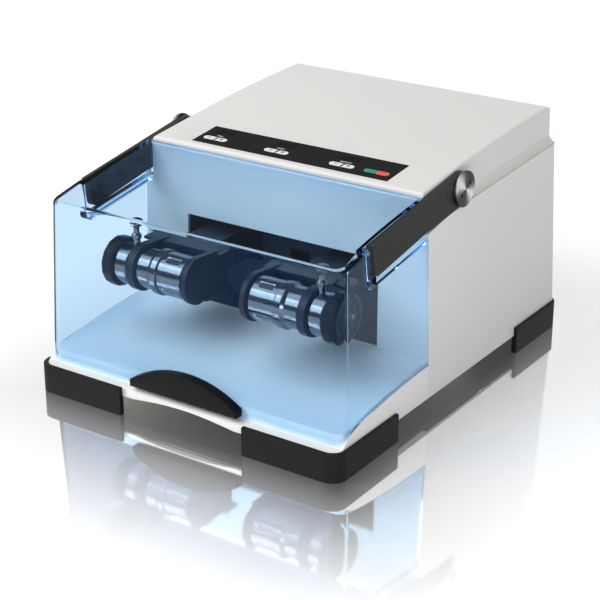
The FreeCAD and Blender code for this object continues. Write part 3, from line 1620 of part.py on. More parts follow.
def make_clamp(name, side):
    """Steel sleeve, screw spindle with its pad, handwheel and locking pin."""
    sleeve_in = s.outer_cheek_x + s.outer_cheek_thickness
    groove = sleeve_in + s.sleeve_groove_length
    sleeve_out = sleeve_in + s.sleeve_length
    bore = s.spindle_radius + s.slip_gap
    body = revolved(f"{name}_sleeve", side, [
        (sleeve_in, bore),
        (sleeve_in, s.sleeve_groove_radius),
        (groove, s.sleeve_groove_radius),
        (groove, s.sleeve_radius - s.sleeve_edge),
        (groove + s.sleeve_edge, s.sleeve_radius),
        (sleeve_out - s.sleeve_edge, s.sleeve_radius),
        (sleeve_out, s.sleeve_radius - s.sleeve_edge),
        (sleeve_out, bore),
    ])
    boss_at = (s.pin_x * side, 0)
    pad_disc(body, "xy", boss_at, s.pin_boss_radius, s.pin_boss_root - s.jar_z, s.pin_boss_top - s.jar_z)
    drill(body, "xy", boss_at, s.pin_radius + s.slip_gap,
          s.spindle_radius, s.pin_boss_top - s.jar_z + s.part_gap)
    keep(body, f"{name}_clamp_sleeve")
    pad_face = s.jar_outer_x + s.pad_gap
    pad_back = pad_face + s.pad_height
    wheel_in = sleeve_out + s.wheel_gap
    wheel_out = wheel_in + s.wheel_length
    body = revolved(f"{name}_spindle", side, [
        (pad_face, 0),
        (pad_face, s.pad_radius - s.jar_edge),
        (pad_face + s.jar_edge, s.pad_radius),
        (pad_back, s.pad_radius),
        (pad_back, s.spindle_radius),
        (wheel_in - s.pad_gap, s.spindle_radius),
        (wheel_in - s.pad_gap, s.spindle_tip_radius),
        (wheel_out, s.spindle_tip_radius),
        (wheel_out, 0),
    ])
    keep(body, f"{name}_clamp_spindle")
    make_handwheel(name, side, wheel_in, wheel_out)
    make_locking_pin(name, side)


def make_handwheel(name, side, wheel_in, wheel_out):
    """Black wheel with flat facets, dished outside, with a small steel-lined socket."""
    low, high = span(side, wheel_in, wheel_out)
    blank = doc.addObject("Part::Prism", f"{name}_wheel_blank")
    blank.Polygon = WHEEL_FACETS
    bind(blank, "Circumradius", s.wheel_radius)
    bind(blank, "Height", high - low)
    place(blank, (low, s.jar_y, s.jar_z), TURNS["x"])
    body = revolved(f"{name}_wheel_form", side, [
        (wheel_in, s.spindle_tip_radius + s.slip_gap),
        (wheel_in, s.wheel_radius - s.wheel_edge),
        (wheel_in + s.wheel_edge, s.wheel_radius + s.slip_gap),
        (wheel_out - s.wheel_edge, s.wheel_radius + s.slip_gap),
        (wheel_out, s.wheel_radius - s.wheel_edge),
        (wheel_out, s.wheel_dish_radius + s.wheel_dish_depth),
        (wheel_out - s.wheel_dish_depth, s.wheel_dish_radius),
        (wheel_out - s.wheel_dish_depth, s.spindle_tip_radius + s.slip_gap),
    ])
    socket = cylinder(f"{name}_wheel_socket", s.wheel_bush_radius, (s.jar_y + s.wheel_bush_offset, s.jar_z),
                      span(side, wheel_out - s.wheel_bush_depth, wheel_out + s.overrun), "x")
    wheel = cut(f"{name}_handwheel", common(f"{name}_wheel_faceted", blank, body), socket)
    keep(wheel, f"{name}_handwheel")


def make_locking_pin(name, side):
    """Sprung pin with a mushroom head that locks the clamp; it lifts out of the sleeve."""
    body = new_body(f"{name}_pin", (s.pin_x * side, s.jar_y, 0))
    tip = s.jar_z + s.spindle_radius + s.pin_tip_gap
    collar = s.pin_boss_top + s.pad_gap
    dome = collar + s.pin_collar_height
    turn(body, [
        (0, tip),
        (s.pin_radius, tip),
        (s.pin_radius, collar),
        (s.pin_collar_radius, collar),
        (s.pin_collar_radius, dome - s.jar_edge),
        (s.pin_neck_radius, dome + s.jar_edge),
        (s.pin_neck_radius, s.pin_cap_bottom - s.jar_edge),
        (s.pin_cap_radius, s.pin_cap_bottom + s.jar_edge * 2),
        (s.pin_cap_radius, s.pin_cap_top - s.jar_edge),
        (s.pin_cap_radius - s.jar_edge, s.pin_cap_top),
        (0, s.pin_cap_top),
    ], upright=True)
    return keep(body, f"{name}_locking_pin")


def make_rod(name, side):
    """Connecting rod from the eccentric to the arm's lever."""
    low, high = rod_levels(side)
    body = new_body(f"{name}_rod")
    shaft = (0, s.shaft_y)
    end = (s.rocker_x * side, s.rocker_y + s.lever_length)
    pad_disc(body, "xy", shaft, s.big_end_radius, low, high)
    pad_disc(body, "xy", end, s.small_end_radius, low, high)
    x = span(side, s.big_end_radius - s.rod_half_width, s.rocker_x)
    pad(body, "xy", corners(x, centred(s.shaft_y, s.rod_half_width)), low, high)
    drill(body, "xy", shaft, s.big_end_bore, low - s.overrun, high + s.overrun)
    drill(body, "xy", end, s.lever_pin_radius + s.slip_gap, low - s.overrun, high + s.overrun)
    return keep(body, f"{name}_connecting_rod")


def rod_levels(side):
    if side < 0:
        low = s.lever_top + s.part_gap
        return low, low + s.rod_height
    high = s.lever_bottom - s.part_gap
    return high - s.rod_height, high


# Drive

def make_drive_frame():
    """Cast frame: floor plate, two side plates and a bridge that holds the shafts' tops."""
    half = s.frame_half_width
    plate_top = s.frame_bottom + s.frame_plate
    bridge_top = s.bridge_bottom + s.frame_plate
    floor = box("frame_floor", centred(0, half), (s.frame_front_y, s.frame_rear_y),
                (s.frame_bottom, plate_top))
    bridge = box("frame_bridge", centred(0, half), (s.frame_front_y, s.bridge_rear_y),
                 (s.bridge_bottom, bridge_top))
    members = [floor, bridge]
    for side in SIDES.values():
        members.append(box("frame_side_plate", span(side, half - s.frame_side, half),
                           (s.frame_front_y, s.bridge_rear_y), (s.frame_bottom, bridge_top)))
    for x in (-s.standoff_offset, s.standoff_offset):
        for y in (s.motor_y - s.standoff_offset, s.motor_y + s.standoff_offset):
            members.append(cylinder("motor_standoff", s.standoff_radius, (x, y),
                                    (plate_top - s.part_gap, s.motor_flange_bottom)))
    bores = []
    for side in SIDES.values():
        bores.append(cylinder("rocker_bore", s.rocker_radius + s.slip_gap, (s.rocker_x * side, s.rocker_y),
                              (s.frame_bottom - s.overrun, bridge_top + s.overrun)))
    bores.append(cylinder("shaft_bore", s.shaft_race_radius + s.slip_gap, (0, s.shaft_y),
                          (s.frame_bottom - s.overrun, bridge_top + s.overrun)))
    return keep(cut("drive_frame", fuse("drive_casting", *members), *bores), "drive_frame")


def make_dampers():
    """Four rubber mounts between the base plate and the drive frame."""
    dampers = []
    low = s.plate_bottom + s.plate_thickness
    for x in (s.damper_inset - s.frame_half_width, s.frame_half_width - s.damper_inset):
        for y in (s.frame_front_y + s.damper_inset, s.frame_rear_y - s.damper_inset):
            dampers.append(cylinder("damper", s.damper_radius, (x, y), (low, s.frame_bottom)))
    return keep(group("vibration_dampers", *dampers), "vibration_dampers")


def make_shafts():
    """Rocker shafts, shaft bearings and the shaft with its two opposed eccentrics."""
    rockers = [cylinder("rocker_shaft", s.rocker_radius, (s.rocker_x * side, s.rocker_y),
                        (s.rocker_bottom, s.rocker_top)) for side in SIDES.values()]
    keep(group("rocker_shafts", *rockers), "rocker_shafts")
    races = []
    for low in (s.frame_bottom, s.bridge_bottom):
        ring = ("shaft_race", s.shaft_race_radius, s.shaft_radius + s.slip_gap)
        races.append(ball_race(ring, (0, s.shaft_y), low, low + s.frame_plate))
    keep(group("shaft_bearings", *races), "shaft_bearings")
    members = [cylinder("eccentric_core", s.shaft_radius, (0, s.shaft_y),
                        (s.shaft_bottom, s.shaft_top))]
    for side in SIDES.values():
        low, high = rod_levels(side)
        members.append(cylinder("eccentric", s.eccentric_radius, (s.eccentric_throw * side, s.shaft_y),
                                (low, high)))
    members += pulley("shaft_pulley", s.shaft_y)
    keep(fuse("eccentric_shaft", *members), "eccentric_shaft")


def pulley(name, y):
    """A belt pulley with a flange at its top and bottom."""
    rim = s.pulley_radius + s.pulley_flange
    flange = s.pulley_flange_height
    return [
        cylinder(f"{name}_drum", s.pulley_radius, (0, y), (s.pulley_bottom, s.pulley_top)),
        cylinder(f"{name}_lower", rim, (0, y), (s.pulley_bottom, s.pulley_bottom + flange)),
        cylinder(f"{name}_upper", rim, (0, y), (s.pulley_top - flange, s.pulley_top)),
    ]


def make_motor():
    """Motor on standoffs, its rotor shaft with pulley, and the belt."""
    top = s.motor_flange_bottom + s.motor_flange_height
    half = s.motor_flange / 2
    flange = box("motor_flange_plate", centred(0, half), (s.motor_y - half, s.motor_y + half),
                 (s.motor_flange_bottom, top))
    can = cylinder("motor_can", s.motor_radius, (0, s.motor_y), (top, s.motor_top))
    cap = cylinder("motor_end_cap", s.motor_cap_radius, (0, s.motor_y),
                   (s.motor_top - s.part_gap, s.motor_top + s.motor_cap_height))
    bore = cylinder("motor_bore", s.motor_bore_radius, (0, s.motor_y),
                    (s.motor_flange_bottom - s.overrun, s.rotor_top + s.part_gap))
    keep(cut("motor", fuse("motor_solid", flange, can, cap), bore), "motor")
    rotor = cylinder("rotor_shaft", s.rotor_radius, (0, s.motor_y), (s.rotor_bottom, s.rotor_top))
    keep(fuse("motor_pulley", rotor, *pulley("motor_drum", s.motor_y)), "motor_pulley")
    flange = s.pulley_flange_height + s.belt_gap
    level = (s.pulley_bottom + flange, s.pulley_top - flange)
    inner = s.pulley_radius + s.belt_gap
    outside = prism("belt_outside", "xy", belt_outline(inner + s.belt_thickness), *level)
    inside = prism("belt_inside", "xy", belt_outline(inner), level[0] - s.overrun, level[1] + s.overrun)
    return keep(cut("drive_belt", outside, inside), "drive_belt")


def belt_outline(radius):
    """Two half circles joined by straight runs."""
    return [
        (radius, s.shaft_y),
        (radius, s.motor_y, radius),
        (-radius, s.motor_y),
        (-radius, s.shaft_y, radius),
    ]


# Electrics

def make_power_supply():
    """Boxed supply on the base plate."""
    low = s.plate_bottom + s.plate_thickness
    case = box("supply_case", (s.supply_x, s.supply_x + s.supply_width),
               (s.supply_front_y, s.supply_rear_y), (low, low + s.supply_height))

    def upright(edge):
        return runs_along(edge, "z")

    eased = round_edges("supply_eased", case, s.supply_edge, upright, "Part::Chamfer")
    return keep(eased, "power_supply")


def make_mains_inlet():
    """Recessed three-contact inlet in the rear panel."""
    flange_y = s.panel_recess_y + s.slip_gap
    half_x = s.inlet_width / 2
    half_z = s.inlet_height / 2
    mouth_y = flange_y + s.inlet_flange_thickness
    socket_y = mouth_y - s.socket_depth
    flange = box("inlet_flange_plate", centred(s.inlet_x, half_x + s.inlet_flange),
                 (flange_y, mouth_y), centred(s.inlet_z, half_z + s.inlet_flange))
    housing = box("inlet_housing", centred(s.inlet_x, half_x),
                  (flange_y - s.inlet_depth, flange_y + s.part_gap), centred(s.inlet_z, half_z))
    socket = box("inlet_socket", centred(s.inlet_x, s.socket_width / 2),
                 (socket_y, mouth_y + s.overrun), centred(s.inlet_z, s.socket_height / 2))
    contacts = []
    for number in (-1, 0, 1):
        contacts.append(box("inlet_contact",
                            centred(s.inlet_x + s.contact_pitch * number, s.contact_width / 2),
                            (socket_y - s.part_gap, socket_y + s.contact_length),
                            centred(s.inlet_z, s.contact_height / 2)))
    shell = cut("inlet_shell", fuse("inlet_solid", flange, housing), socket)
    return keep(fuse("mains_inlet", shell, *contacts), "mains_inlet")


def make_switch():
    """Rear power switch: a frame and a rocker that tips on a pin."""
    flange_y = s.panel_recess_y + s.slip_gap
    half_x = s.switch_width / 2
    half_z = s.switch_height / 2
    flange = box("switch_flange", centred(s.switch_x, half_x + s.inlet_flange),
                 (flange_y, flange_y + s.inlet_flange_thickness),
                 centred(s.inlet_z, half_z + s.inlet_flange))
    housing = box("switch_housing", centred(s.switch_x, half_x),
                  (flange_y - s.switch_depth, flange_y + s.part_gap), centred(s.inlet_z, half_z))
    bore = box("switch_bore", centred(s.switch_x, s.switch_bore_half_width),
               (flange_y - s.switch_depth + s.inlet_flange, flange_y + s.overrun),
               centred(s.inlet_z, s.switch_bore_half_height))
    pin = cylinder("switch_pin", s.switch_pin_radius, (s.rocker_pivot_y, s.inlet_z),
                   centred(s.switch_x, half_x - s.part_gap), "x")
    shell = cut("switch_shell", fuse("switch_solid", flange, housing), bore)
    keep(fuse("switch_frame", shell, pin), "switch_frame")
    body = new_body("rocker", (s.switch_x, s.rocker_pivot_y, s.inlet_z),
                    Rotation(Vector(1, 0, 0), -ROCKER_TILT))
    half = s.rocker_half_height
    pad(body, "yz", [
        (-s.rocker_back, -half + s.rocker_hollow),
        (s.rocker_lip, -half),
        (s.rocker_lip - s.rocker_hollow, 0),
        (s.rocker_lip, half),
        (-s.rocker_back, half - s.rocker_hollow),
    ], -s.rocker_half_width, s.rocker_half_width)
    drill(body, "yz", (0, 0), s.switch_pin_radius + s.slip_gap,
          -s.rocker_half_width - s.part_gap, s.rocker_half_width + s.part_gap)
    return keep(body, "power_rocker")


def make_fan():
    """Cooling fan behind the vent slots: square frame with struts, and a bladed rotor."""
    half = s.fan_size / 2
    y = (s.fan_front_y, s.fan_rear_y)
    frame = box("fan_case", centred(s.fan_x, half), y, centred(s.fan_z, half))
    at = (s.fan_x, s.fan_z)
    bore = cylinder("fan_bore", s.fan_bore_radius, at, (y[0] - s.overrun, y[1] + s.overrun), "y")
    hub_y = s.fan_front_y + s.fan_strut / 2
    pin_y = hub_y + s.fan_blade_depth / 2
    struts = [
        box("fan_strut_across", centred(s.fan_x, half), (y[0], hub_y), centred(s.fan_z, s.fan_strut / 2)),
        box("fan_strut_upright", centred(s.fan_x, s.fan_strut / 2), (y[0], hub_y), centred(s.fan_z, half)),
        cylinder("fan_mount", s.fan_hub_radius, at, (y[0], hub_y), "y"),
        cylinder("fan_pin", s.fan_pin_radius, at, (y[0], pin_y), "y"),
    ]
    keep(fuse("fan_frame", cut("fan_ring", frame, bore), *struts), "fan_frame")
    front = hub_y + s.part_gap
    rear = front + s.fan_blade_depth
    hub = cylinder("fan_hub", s.fan_hub_radius, at, (front, rear), "y")
    blades = []
    for number in range(FAN_BLADES):
        blades.append(fan_blade(number, front + s.part_gap, rear - s.part_gap))
    pin_hole = cylinder("fan_pin_hole", s.fan_pin_radius + s.slip_gap, at,
                        (front - s.overrun, pin_y + s.part_gap), "y")
    return keep(cut("fan_rotor", fuse("fan_wheel", hub, *blades), pin_hole), "fan_rotor")


def fan_blade(number, front, rear):
    """One slanted blade, a thin plate from the hub to the tip circle."""
    depth = rear - front
    shift = depth * s.fan_twist_share
    body = new_body(f"fan_blade_{number}", (s.fan_x, front, s.fan_z),
                    Rotation(Vector(0, 1, 0), 360 * number / FAN_BLADES))
    pad(body, "xy", [
        (-shift / 2, 0),
        (-shift / 2 + s.fan_blade_thickness, 0),
        (shift / 2 + s.fan_blade_thickness, depth),
        (shift / 2, depth),
    ], s.fan_hub_radius - s.part_gap, s.fan_tip_radius)
    return body


def make_all():
    make_base_tray()
    make_rear_housing()
    make_top_cover()
    make_keypad()
    make_windows()
    make_keys()
    make_control_board()
    make_base_plate()
    make_feet()
    make_base_screws()
    make_cover_screws()
    make_lid_shell()
    make_arm_screws()
    make_lid_handle()
    make_hinge_pins()
    make_guard_liner()
    for name, side in SIDES.items():
        make_lid_arm(name, side)
        make_swing_arm(name, side)
        make_arm_bearings(name, side)
        make_jar(name, side)
        make_clamp(name, side)
        make_rod(name, side)
    make_drive_frame()
    make_dampers()
    make_shafts()
    make_motor()
    make_power_supply()
    make_mains_inlet()
    make_switch()
    make_fan()


def check_and_write():
    """Refuse a failed object or a bad shape, then write one file per sub-part."""
    doc.recompute()
    failed = [o.Label for o in doc.Objects if "Invalid" in o.State or "Error" in o.State]
    bad = [name for name, item in parts.items() if item.Shape.isNull() or not item.Shape.isValid()]
    if failed or bad:
        raise RuntimeError(f"failed objects: {failed}; bad shapes: {bad}")
    os.makedirs("parts", exist_ok=True)
    for name, item in parts.items():
        shape = item.Shape
        print(name, len(shape.Solids), round(shape.Volume))
        shape.exportStep(f"parts/{name}.step")
    print(len(parts), "sub-parts")


make_all()
check_and_write()
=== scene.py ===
# %% [markdown]
# # A laboratory mill under a blue lid
# Two steel jars shake from side to side under a clear blue lid, in front of a
# grey housing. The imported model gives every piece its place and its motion.
# This lesson gives the pieces the surfaces of the real machine: turned steel,
# fine textured paint, tinted polycarbonate and moulded black plastic.

# %% Load the fixed frame
import json
import math

import bmesh
import bpy
import numpy as np
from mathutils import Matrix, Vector


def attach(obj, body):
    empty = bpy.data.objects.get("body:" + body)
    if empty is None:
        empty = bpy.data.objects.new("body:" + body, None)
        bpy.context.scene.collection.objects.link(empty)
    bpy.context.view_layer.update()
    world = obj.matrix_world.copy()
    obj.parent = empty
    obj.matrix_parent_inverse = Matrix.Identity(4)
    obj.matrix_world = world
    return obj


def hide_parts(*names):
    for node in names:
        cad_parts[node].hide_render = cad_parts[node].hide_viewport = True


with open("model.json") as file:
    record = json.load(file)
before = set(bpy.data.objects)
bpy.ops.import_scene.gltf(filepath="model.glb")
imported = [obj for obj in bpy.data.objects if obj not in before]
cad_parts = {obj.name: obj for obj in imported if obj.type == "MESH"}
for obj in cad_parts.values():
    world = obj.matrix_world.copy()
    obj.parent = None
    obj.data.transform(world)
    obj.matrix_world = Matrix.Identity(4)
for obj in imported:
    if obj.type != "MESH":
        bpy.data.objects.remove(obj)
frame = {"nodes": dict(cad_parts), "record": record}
NODES = frame["nodes"]
BODY_OF = {node: body for body, nodes in frame["record"]["behaviour"]["bodies"].items() for node in nodes}
SLOT_OF = {row["node"]: row["material_slot"] for row in frame["record"]["subparts"]}
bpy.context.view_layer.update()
MM = 0.001
SIDES = {"left": -1, "right": 1}

# %% [markdown]
# ## Writing shader maths as Python
# A material is a small program made of nodes. Wrapping a socket in a class
# with operators lets that program be written as ordinary sums, such as
# 1 - mask * 0.3, and each operator adds one Math node.

# %% A socket that can be added and multiplied


class Value:
    """One output socket. Each operator joins it to a new Math node and returns that node's output."""

    def __init__(self, shade, socket):
        self.shade = shade
        self.socket = socket

    def joined(self, operation, first, second=0.0):
        return self.shade.node("ShaderNodeMath", {0: first, 1: second}, operation=operation)

    def __add__(self, other):
        return self.joined("ADD", self, other)

    def __radd__(self, other):
        return self.joined("ADD", other, self)

    def __sub__(self, other):
        return self.joined("SUBTRACT", self, other)

    def __rsub__(self, other):
        return self.joined("SUBTRACT", other, self)

    def __mul__(self, other):
        return self.joined("MULTIPLY", self, other)

    def __rmul__(self, other):
        return self.joined("MULTIPLY", other, self)

    def __truediv__(self, other):
        return self.joined("DIVIDE", self, other)

    def at_least(self, other):
        return self.joined("MAXIMUM", self, other)

    def at_most(self, other):
        return self.joined("MINIMUM", self, other)

    def size(self):
        return self.joined("ABSOLUTE", self)

    def root(self):
        return self.joined("SQRT", self)


print("shader sums are ready")

# %% [markdown]
# ## A finish as a tree of nodes
# Most materials here want the same few things: the place on the model, some
# noise, a blend of two colours, a bump. One class owns the tree of a material,
# or of the world, and makes every node through a single method.

# %% A node tree with short names for what it often makes


class Shade:
    """The node tree of one finish, or of the surroundings."""

    def __init__(self, name, world=None):
        self.owner = world or bpy.data.materials.new(name)
        self.owner.use_nodes = True
        self.tree = self.owner.node_tree
        self.tree.nodes.clear()

    def node(self, kind, inputs=None, output=0, **settings):
        """Add a node: its settings first, then the values or links of its sockets."""
        node = self.tree.nodes.new(kind)
        for name, setting in settings.items():
            setattr(node, name, setting)
        for name, value in (inputs or {}).items():
            if isinstance(value, Value):
                self.tree.links.new(value.socket, node.inputs[name])
            else:
                node.inputs[name].default_value = value
        return Value(self, node.outputs[output])

    def place(self):
        """Object coordinates, which are the model's own metres."""
        return self.node("ShaderNodeTexCoord", output="Object")

    def split(self, vector, axis):
        """One coordinate of a vector."""
        return self.node("ShaderNodeSeparateXYZ", {0: vector}, output=axis)

    def grain(self, size, detail, vector=None):
        """Noise from 0 to 1 whose grains are about size metres across."""
        where = vector or self.place()
        return self.node("ShaderNodeTexNoise", {"Vector": where, "Scale": 1.0 / size, "Detail": detail})

    def blend(self, factor, first, second):
        """Mix two colours by a factor."""
        return self.node("ShaderNodeMix", {0: factor, 6: first, 7: second}, output=2, data_type="RGBA")

    def bump(self, height, distance):
        """A normal tilted by a height from 0 to 1, which stands for a distance in metres."""
        return self.node("ShaderNodeBump", {"Height": height, "Distance": distance, "Strength": 1.0})

    def ray(self, kind):
        """What Light Path says about the ray that arrives."""
        return self.node("ShaderNodeLightPath", output=kind)

    def finish(self, surface, volume=None, kind="ShaderNodeOutputMaterial"):
        """Join the shader to the output and return the material or world."""
        output = self.tree.nodes.new(kind)
        self.tree.links.new(surface.socket, output.inputs["Surface"])
        if volume:
            self.tree.links.new(volume.socket, output.inputs["Volume"])
        return self.owner


print("finishes can be written")

# %% [markdown]
# ## Colours as numbers
# A colour as given here is a display colour, but light is added up in linear
# numbers. Raising each channel to the power 2.2 turns one into the other, so
# colours are written below as they look on a screen.

# %% Display colours made linear
DISPLAY_POWER = 2.2
WHITE = (1.0, 1.0, 1.0, 1.0)


def linear(red, green, blue):
    """The linear colour of a display colour from 0 to 1: each channel to the display's power."""
    return tuple(channel ** DISPLAY_POWER for channel in (red, green, blue)) + (1.0,)


def grey(level):
    """A neutral display colour, made linear."""
    return linear(level, level, level)


def scaled(colour, share):
    """A linear colour made darker or lighter by a share, up to white."""
    return tuple(min(channel * share, 1.0) for channel in colour[:3]) + (1.0,)


print("half grey is", round(grey(0.5)[0], 3), "as linear light")

# %% [markdown]
# ## Paint and moulded plastic
# The housing has a fine, slightly matt paint. Up close it is a field of tiny
# soft bumps, and from a step away it only breaks the light a little. The black
# parts have the same kind of skin, coarser on the feet than on the keypad.
# One function makes all of them from a colour, a grain size and a roughness.

# %% A textured skin
SOFT_DETAIL, FINE_DETAIL = 2.0, 3.0
CLOUD_SIZE = 0.06
FINE_TONE, CLOUD_TONE = 0.7, 0.3
FINE_GLOSS, CLOUD_GLOSS = 0.12, 0.06
SPECKLE_DOWN, SPECKLE_UP = 4.0, 2.0
COAT_ROUGHNESS = 0.12


def skin(name, colour, grain_size, roughness, relief, speckle, coat=0.0, shine=0.5):
    """A moulded or painted skin, its sizes in metres: speckled colour, uneven gloss and fine bumps."""
    shade = Shade(name)
    fine = shade.grain(grain_size, FINE_DETAIL)
    cloud = shade.grain(CLOUD_SIZE, SOFT_DETAIL)
    darker = scaled(colour, 1.0 - speckle * SPECKLE_DOWN)
    lighter = scaled(colour, 1.0 + speckle * SPECKLE_UP)
    surface = shade.node("ShaderNodeBsdfPrincipled", {
        "Base Color": shade.blend(fine * FINE_TONE + cloud * CLOUD_TONE, darker, lighter),
        "Roughness": fine * FINE_GLOSS + cloud * CLOUD_GLOSS + (roughness - (FINE_GLOSS + CLOUD_GLOSS) / 2),
        "Specular IOR Level": shine,
        "Coat Weight": coat,
        "Coat Roughness": COAT_ROUGHNESS,
        "Normal": shade.bump(fine, relief),
    })
    return shade.finish(surface)


print("clouds in a skin are", CLOUD_SIZE, "metres wide")

# %% [markdown]
# ## The skins of this machine
# Each row gives a name, a colour, the size of the grain, the roughness, the
# height of the bumps and how far the speckles leave the colour. The black
# parts reflect far less at a glance than bare plastic would, as their texture
# traps light, so their shine is turned well down.

# %% Paints, plastics and rubber
finishes = {
    "housing_paint": skin("textured grey paint", linear(0.885, 0.875, 0.865), 0.0009, 0.42, 0.00003, 0.012),
    "tray_gloss": skin("smooth tray paint", linear(0.905, 0.90, 0.895), 0.0007, 0.38, 0.00002, 0.008),
    "foot_black": skin("moulded black foot", grey(0.15), 0.0011, 0.50, 0.00010, 0.09, shine=0.10),
    "arm_black": skin("black powder coat", grey(0.20), 0.0009, 0.46, 0.00008, 0.08, shine=0.12),
    "handle_black": skin("satin black grip", grey(0.11), 0.0008, 0.42, 0.00005, 0.05, shine=0.08),
    "panel_black": skin("keypad foil", grey(0.15), 0.0006, 0.40, 0.00001, 0.03, shine=0.01),
    "window_dark": skin("tinted window", linear(0.10, 0.10, 0.105), 0.0006, 0.16, 0.00001, 0.02, shine=0.01),
    "key_white": skin("white key", grey(0.93), 0.0005, 0.34, 0.00001, 0.01),
    "key_green": skin("green key", linear(0.0, 0.60, 0.47), 0.0005, 0.34, 0.00001, 0.01, shine=0.3),
    "key_red": skin("red key", linear(0.97, 0.36, 0.33), 0.0005, 0.34, 0.00001, 0.01, shine=0.3),
    # The blue in the guard's and the holder's dark colours is a painted sheen: it stands in for the blue sheen
    # that the lid lays over dark parts.
    "guard_dark": skin("dark moulded guard", linear(0.15, 0.19, 0.26), 0.0010, 0.34, 0.00004, 0.05, shine=0.1),
    "holder_dark": skin("dark cast holder", linear(0.12, 0.14, 0.18), 0.0009, 0.36, 0.00005, 0.05, shine=0.25),
    "wheel_black": skin("black handwheel", linear(0.09, 0.09, 0.095), 0.0008, 0.34, 0.00004, 0.04, shine=0.15),
    "belt_rubber": skin("belt rubber", grey(0.13), 0.0010, 0.62, 0.00008, 0.06),
    "damper_rubber": skin("damper rubber", grey(0.14), 0.0010, 0.66, 0.00008, 0.06),
    "board_green": skin("circuit board", linear(0.10, 0.38, 0.24), 0.0012, 0.40, 0.00003, 0.05),
    "inlet_black": skin("black inlet", grey(0.12), 0.0008, 0.44, 0.00004, 0.05, shine=0.22),
    "rocker_black": skin("glossy rocker", grey(0.10), 0.0006, 0.20, 0.00001, 0.02, coat=0.3),
    "fan_black": skin("fan plastic", grey(0.13), 0.0008, 0.48, 0.00004, 0.05),
    "cast_grey": skin("grey casting", linear(0.42, 0.43, 0.44), 0.0020, 0.58, 0.00015, 0.05),
    "motor_grey": skin("motor paint", linear(0.30, 0.32, 0.35), 0.0008, 0.40, 0.00003, 0.04),
}
print("skins", len(finishes))

# %% [markdown]
# ## Steel and aluminium
# A turned part carries fine rings from the lathe. They run round its axis, so
# a pattern that changes only along that axis gives them. The ring pattern
# roughens the gloss and tilts the surface a little, and a slow cloud of
# fingermarks keeps the steel from looking perfect. A painted highlight lightens
# the colour along the edge of each milled grip, where it would catch the light:
# an attribute that the jar's mesh carries says where, and a piece without it reads 0.

# %% Turned and plain metal
METAL_GRAIN = 0.0005
MARKS_SIZE = 0.012
METAL_DARK = 0.80
METAL_GLOSS = 0.10
# The painted highlight along the grips' edges: its near-white colour and how far it lightens the steel.
GRIP_EDGE_HIGHLIGHT = linear(0.95, 0.95, 0.96)
EDGE_HIGHLIGHT_SHARE = 0.75


def metal(name, colour, roughness, lathe_axis=None, depth=0.000006):
    """Bare metal. With a lathe axis, fine rings follow one coordinate; without one, a soft grain."""
    shade = Shade(name)
    where = shade.place()
    if lathe_axis is None:
        fine = shade.grain(METAL_GRAIN, SOFT_DETAIL, where)
    else:
        line = shade.node("ShaderNodeCombineXYZ", {0: shade.split(where, lathe_axis)})
        fine = shade.grain(METAL_GRAIN, FINE_DETAIL, line)
    marks = shade.grain(MARKS_SIZE, FINE_DETAIL, where)
    tone = shade.blend(fine * 0.5 + marks * 0.5, scaled(colour, METAL_DARK), colour)
    # Painted highlight: the colour is lightened along the grips' edges, where they would catch the light.
    if lathe_axis:
        painted_edge = shade.node("ShaderNodeAttribute", output="Fac", attribute_name="painted_edge_highlight")
        tone = shade.blend(painted_edge * EDGE_HIGHLIGHT_SHARE, tone, GRIP_EDGE_HIGHLIGHT)
    surface = shade.node("ShaderNodeBsdfPrincipled", {
        "Base Color": tone,
        "Metallic": 1.0,
        "Roughness": fine * METAL_GLOSS + marks * METAL_GLOSS + (roughness - METAL_GLOSS),
        "Normal": shade.bump(fine, depth),
    })
    return shade.finish(surface)


finishes.update({
    "polished_steel": metal("turned steel", linear(0.47, 0.49, 0.52), 0.14, "X", depth=0.000003),
    "steel_plain": metal("machined steel", linear(0.60, 0.61, 0.63), 0.36),
    "zinc_screw": metal("zinc plate", linear(0.72, 0.72, 0.70), 0.34),
    "supply_metal": metal("folded sheet", linear(0.78, 0.79, 0.80), 0.34),
})
print("finishes with the metals", len(finishes))

# %% [markdown]
# ## A painted bow of light on a faced disc
# A disc that was faced on a lathe shows a bright bow, because each ring
# mirrors the lamp at only two places. Rings that fine would need an anisotropic
# shader, which can't be kept as a plain colour. The bow is always at the same
# angle here, so it is painted: a base colour that swings with twice the angle
# round the pin's axis stands for the highlight. No arctangent is needed: cos 2a
# and sin 2a are (y y - z z) / (y y + z z) and 2 y z / (y y + z z).

# %% Faced aluminium with a painted highlight
PIVOT_Y, PIVOT_Z = 9.0, 222.0
PAINTED_BOW_TURN = math.radians(145.0)
PAINTED_BOW_DARK, PAINTED_BOW_BRIGHT = linear(0.20, 0.20, 0.205), linear(0.88, 0.88, 0.90)
FACE_GRAIN, FACE_GLOSS, FACE_ROUGHNESS = 0.0006, 0.08, 0.20
NOT_ZERO = 1e-9


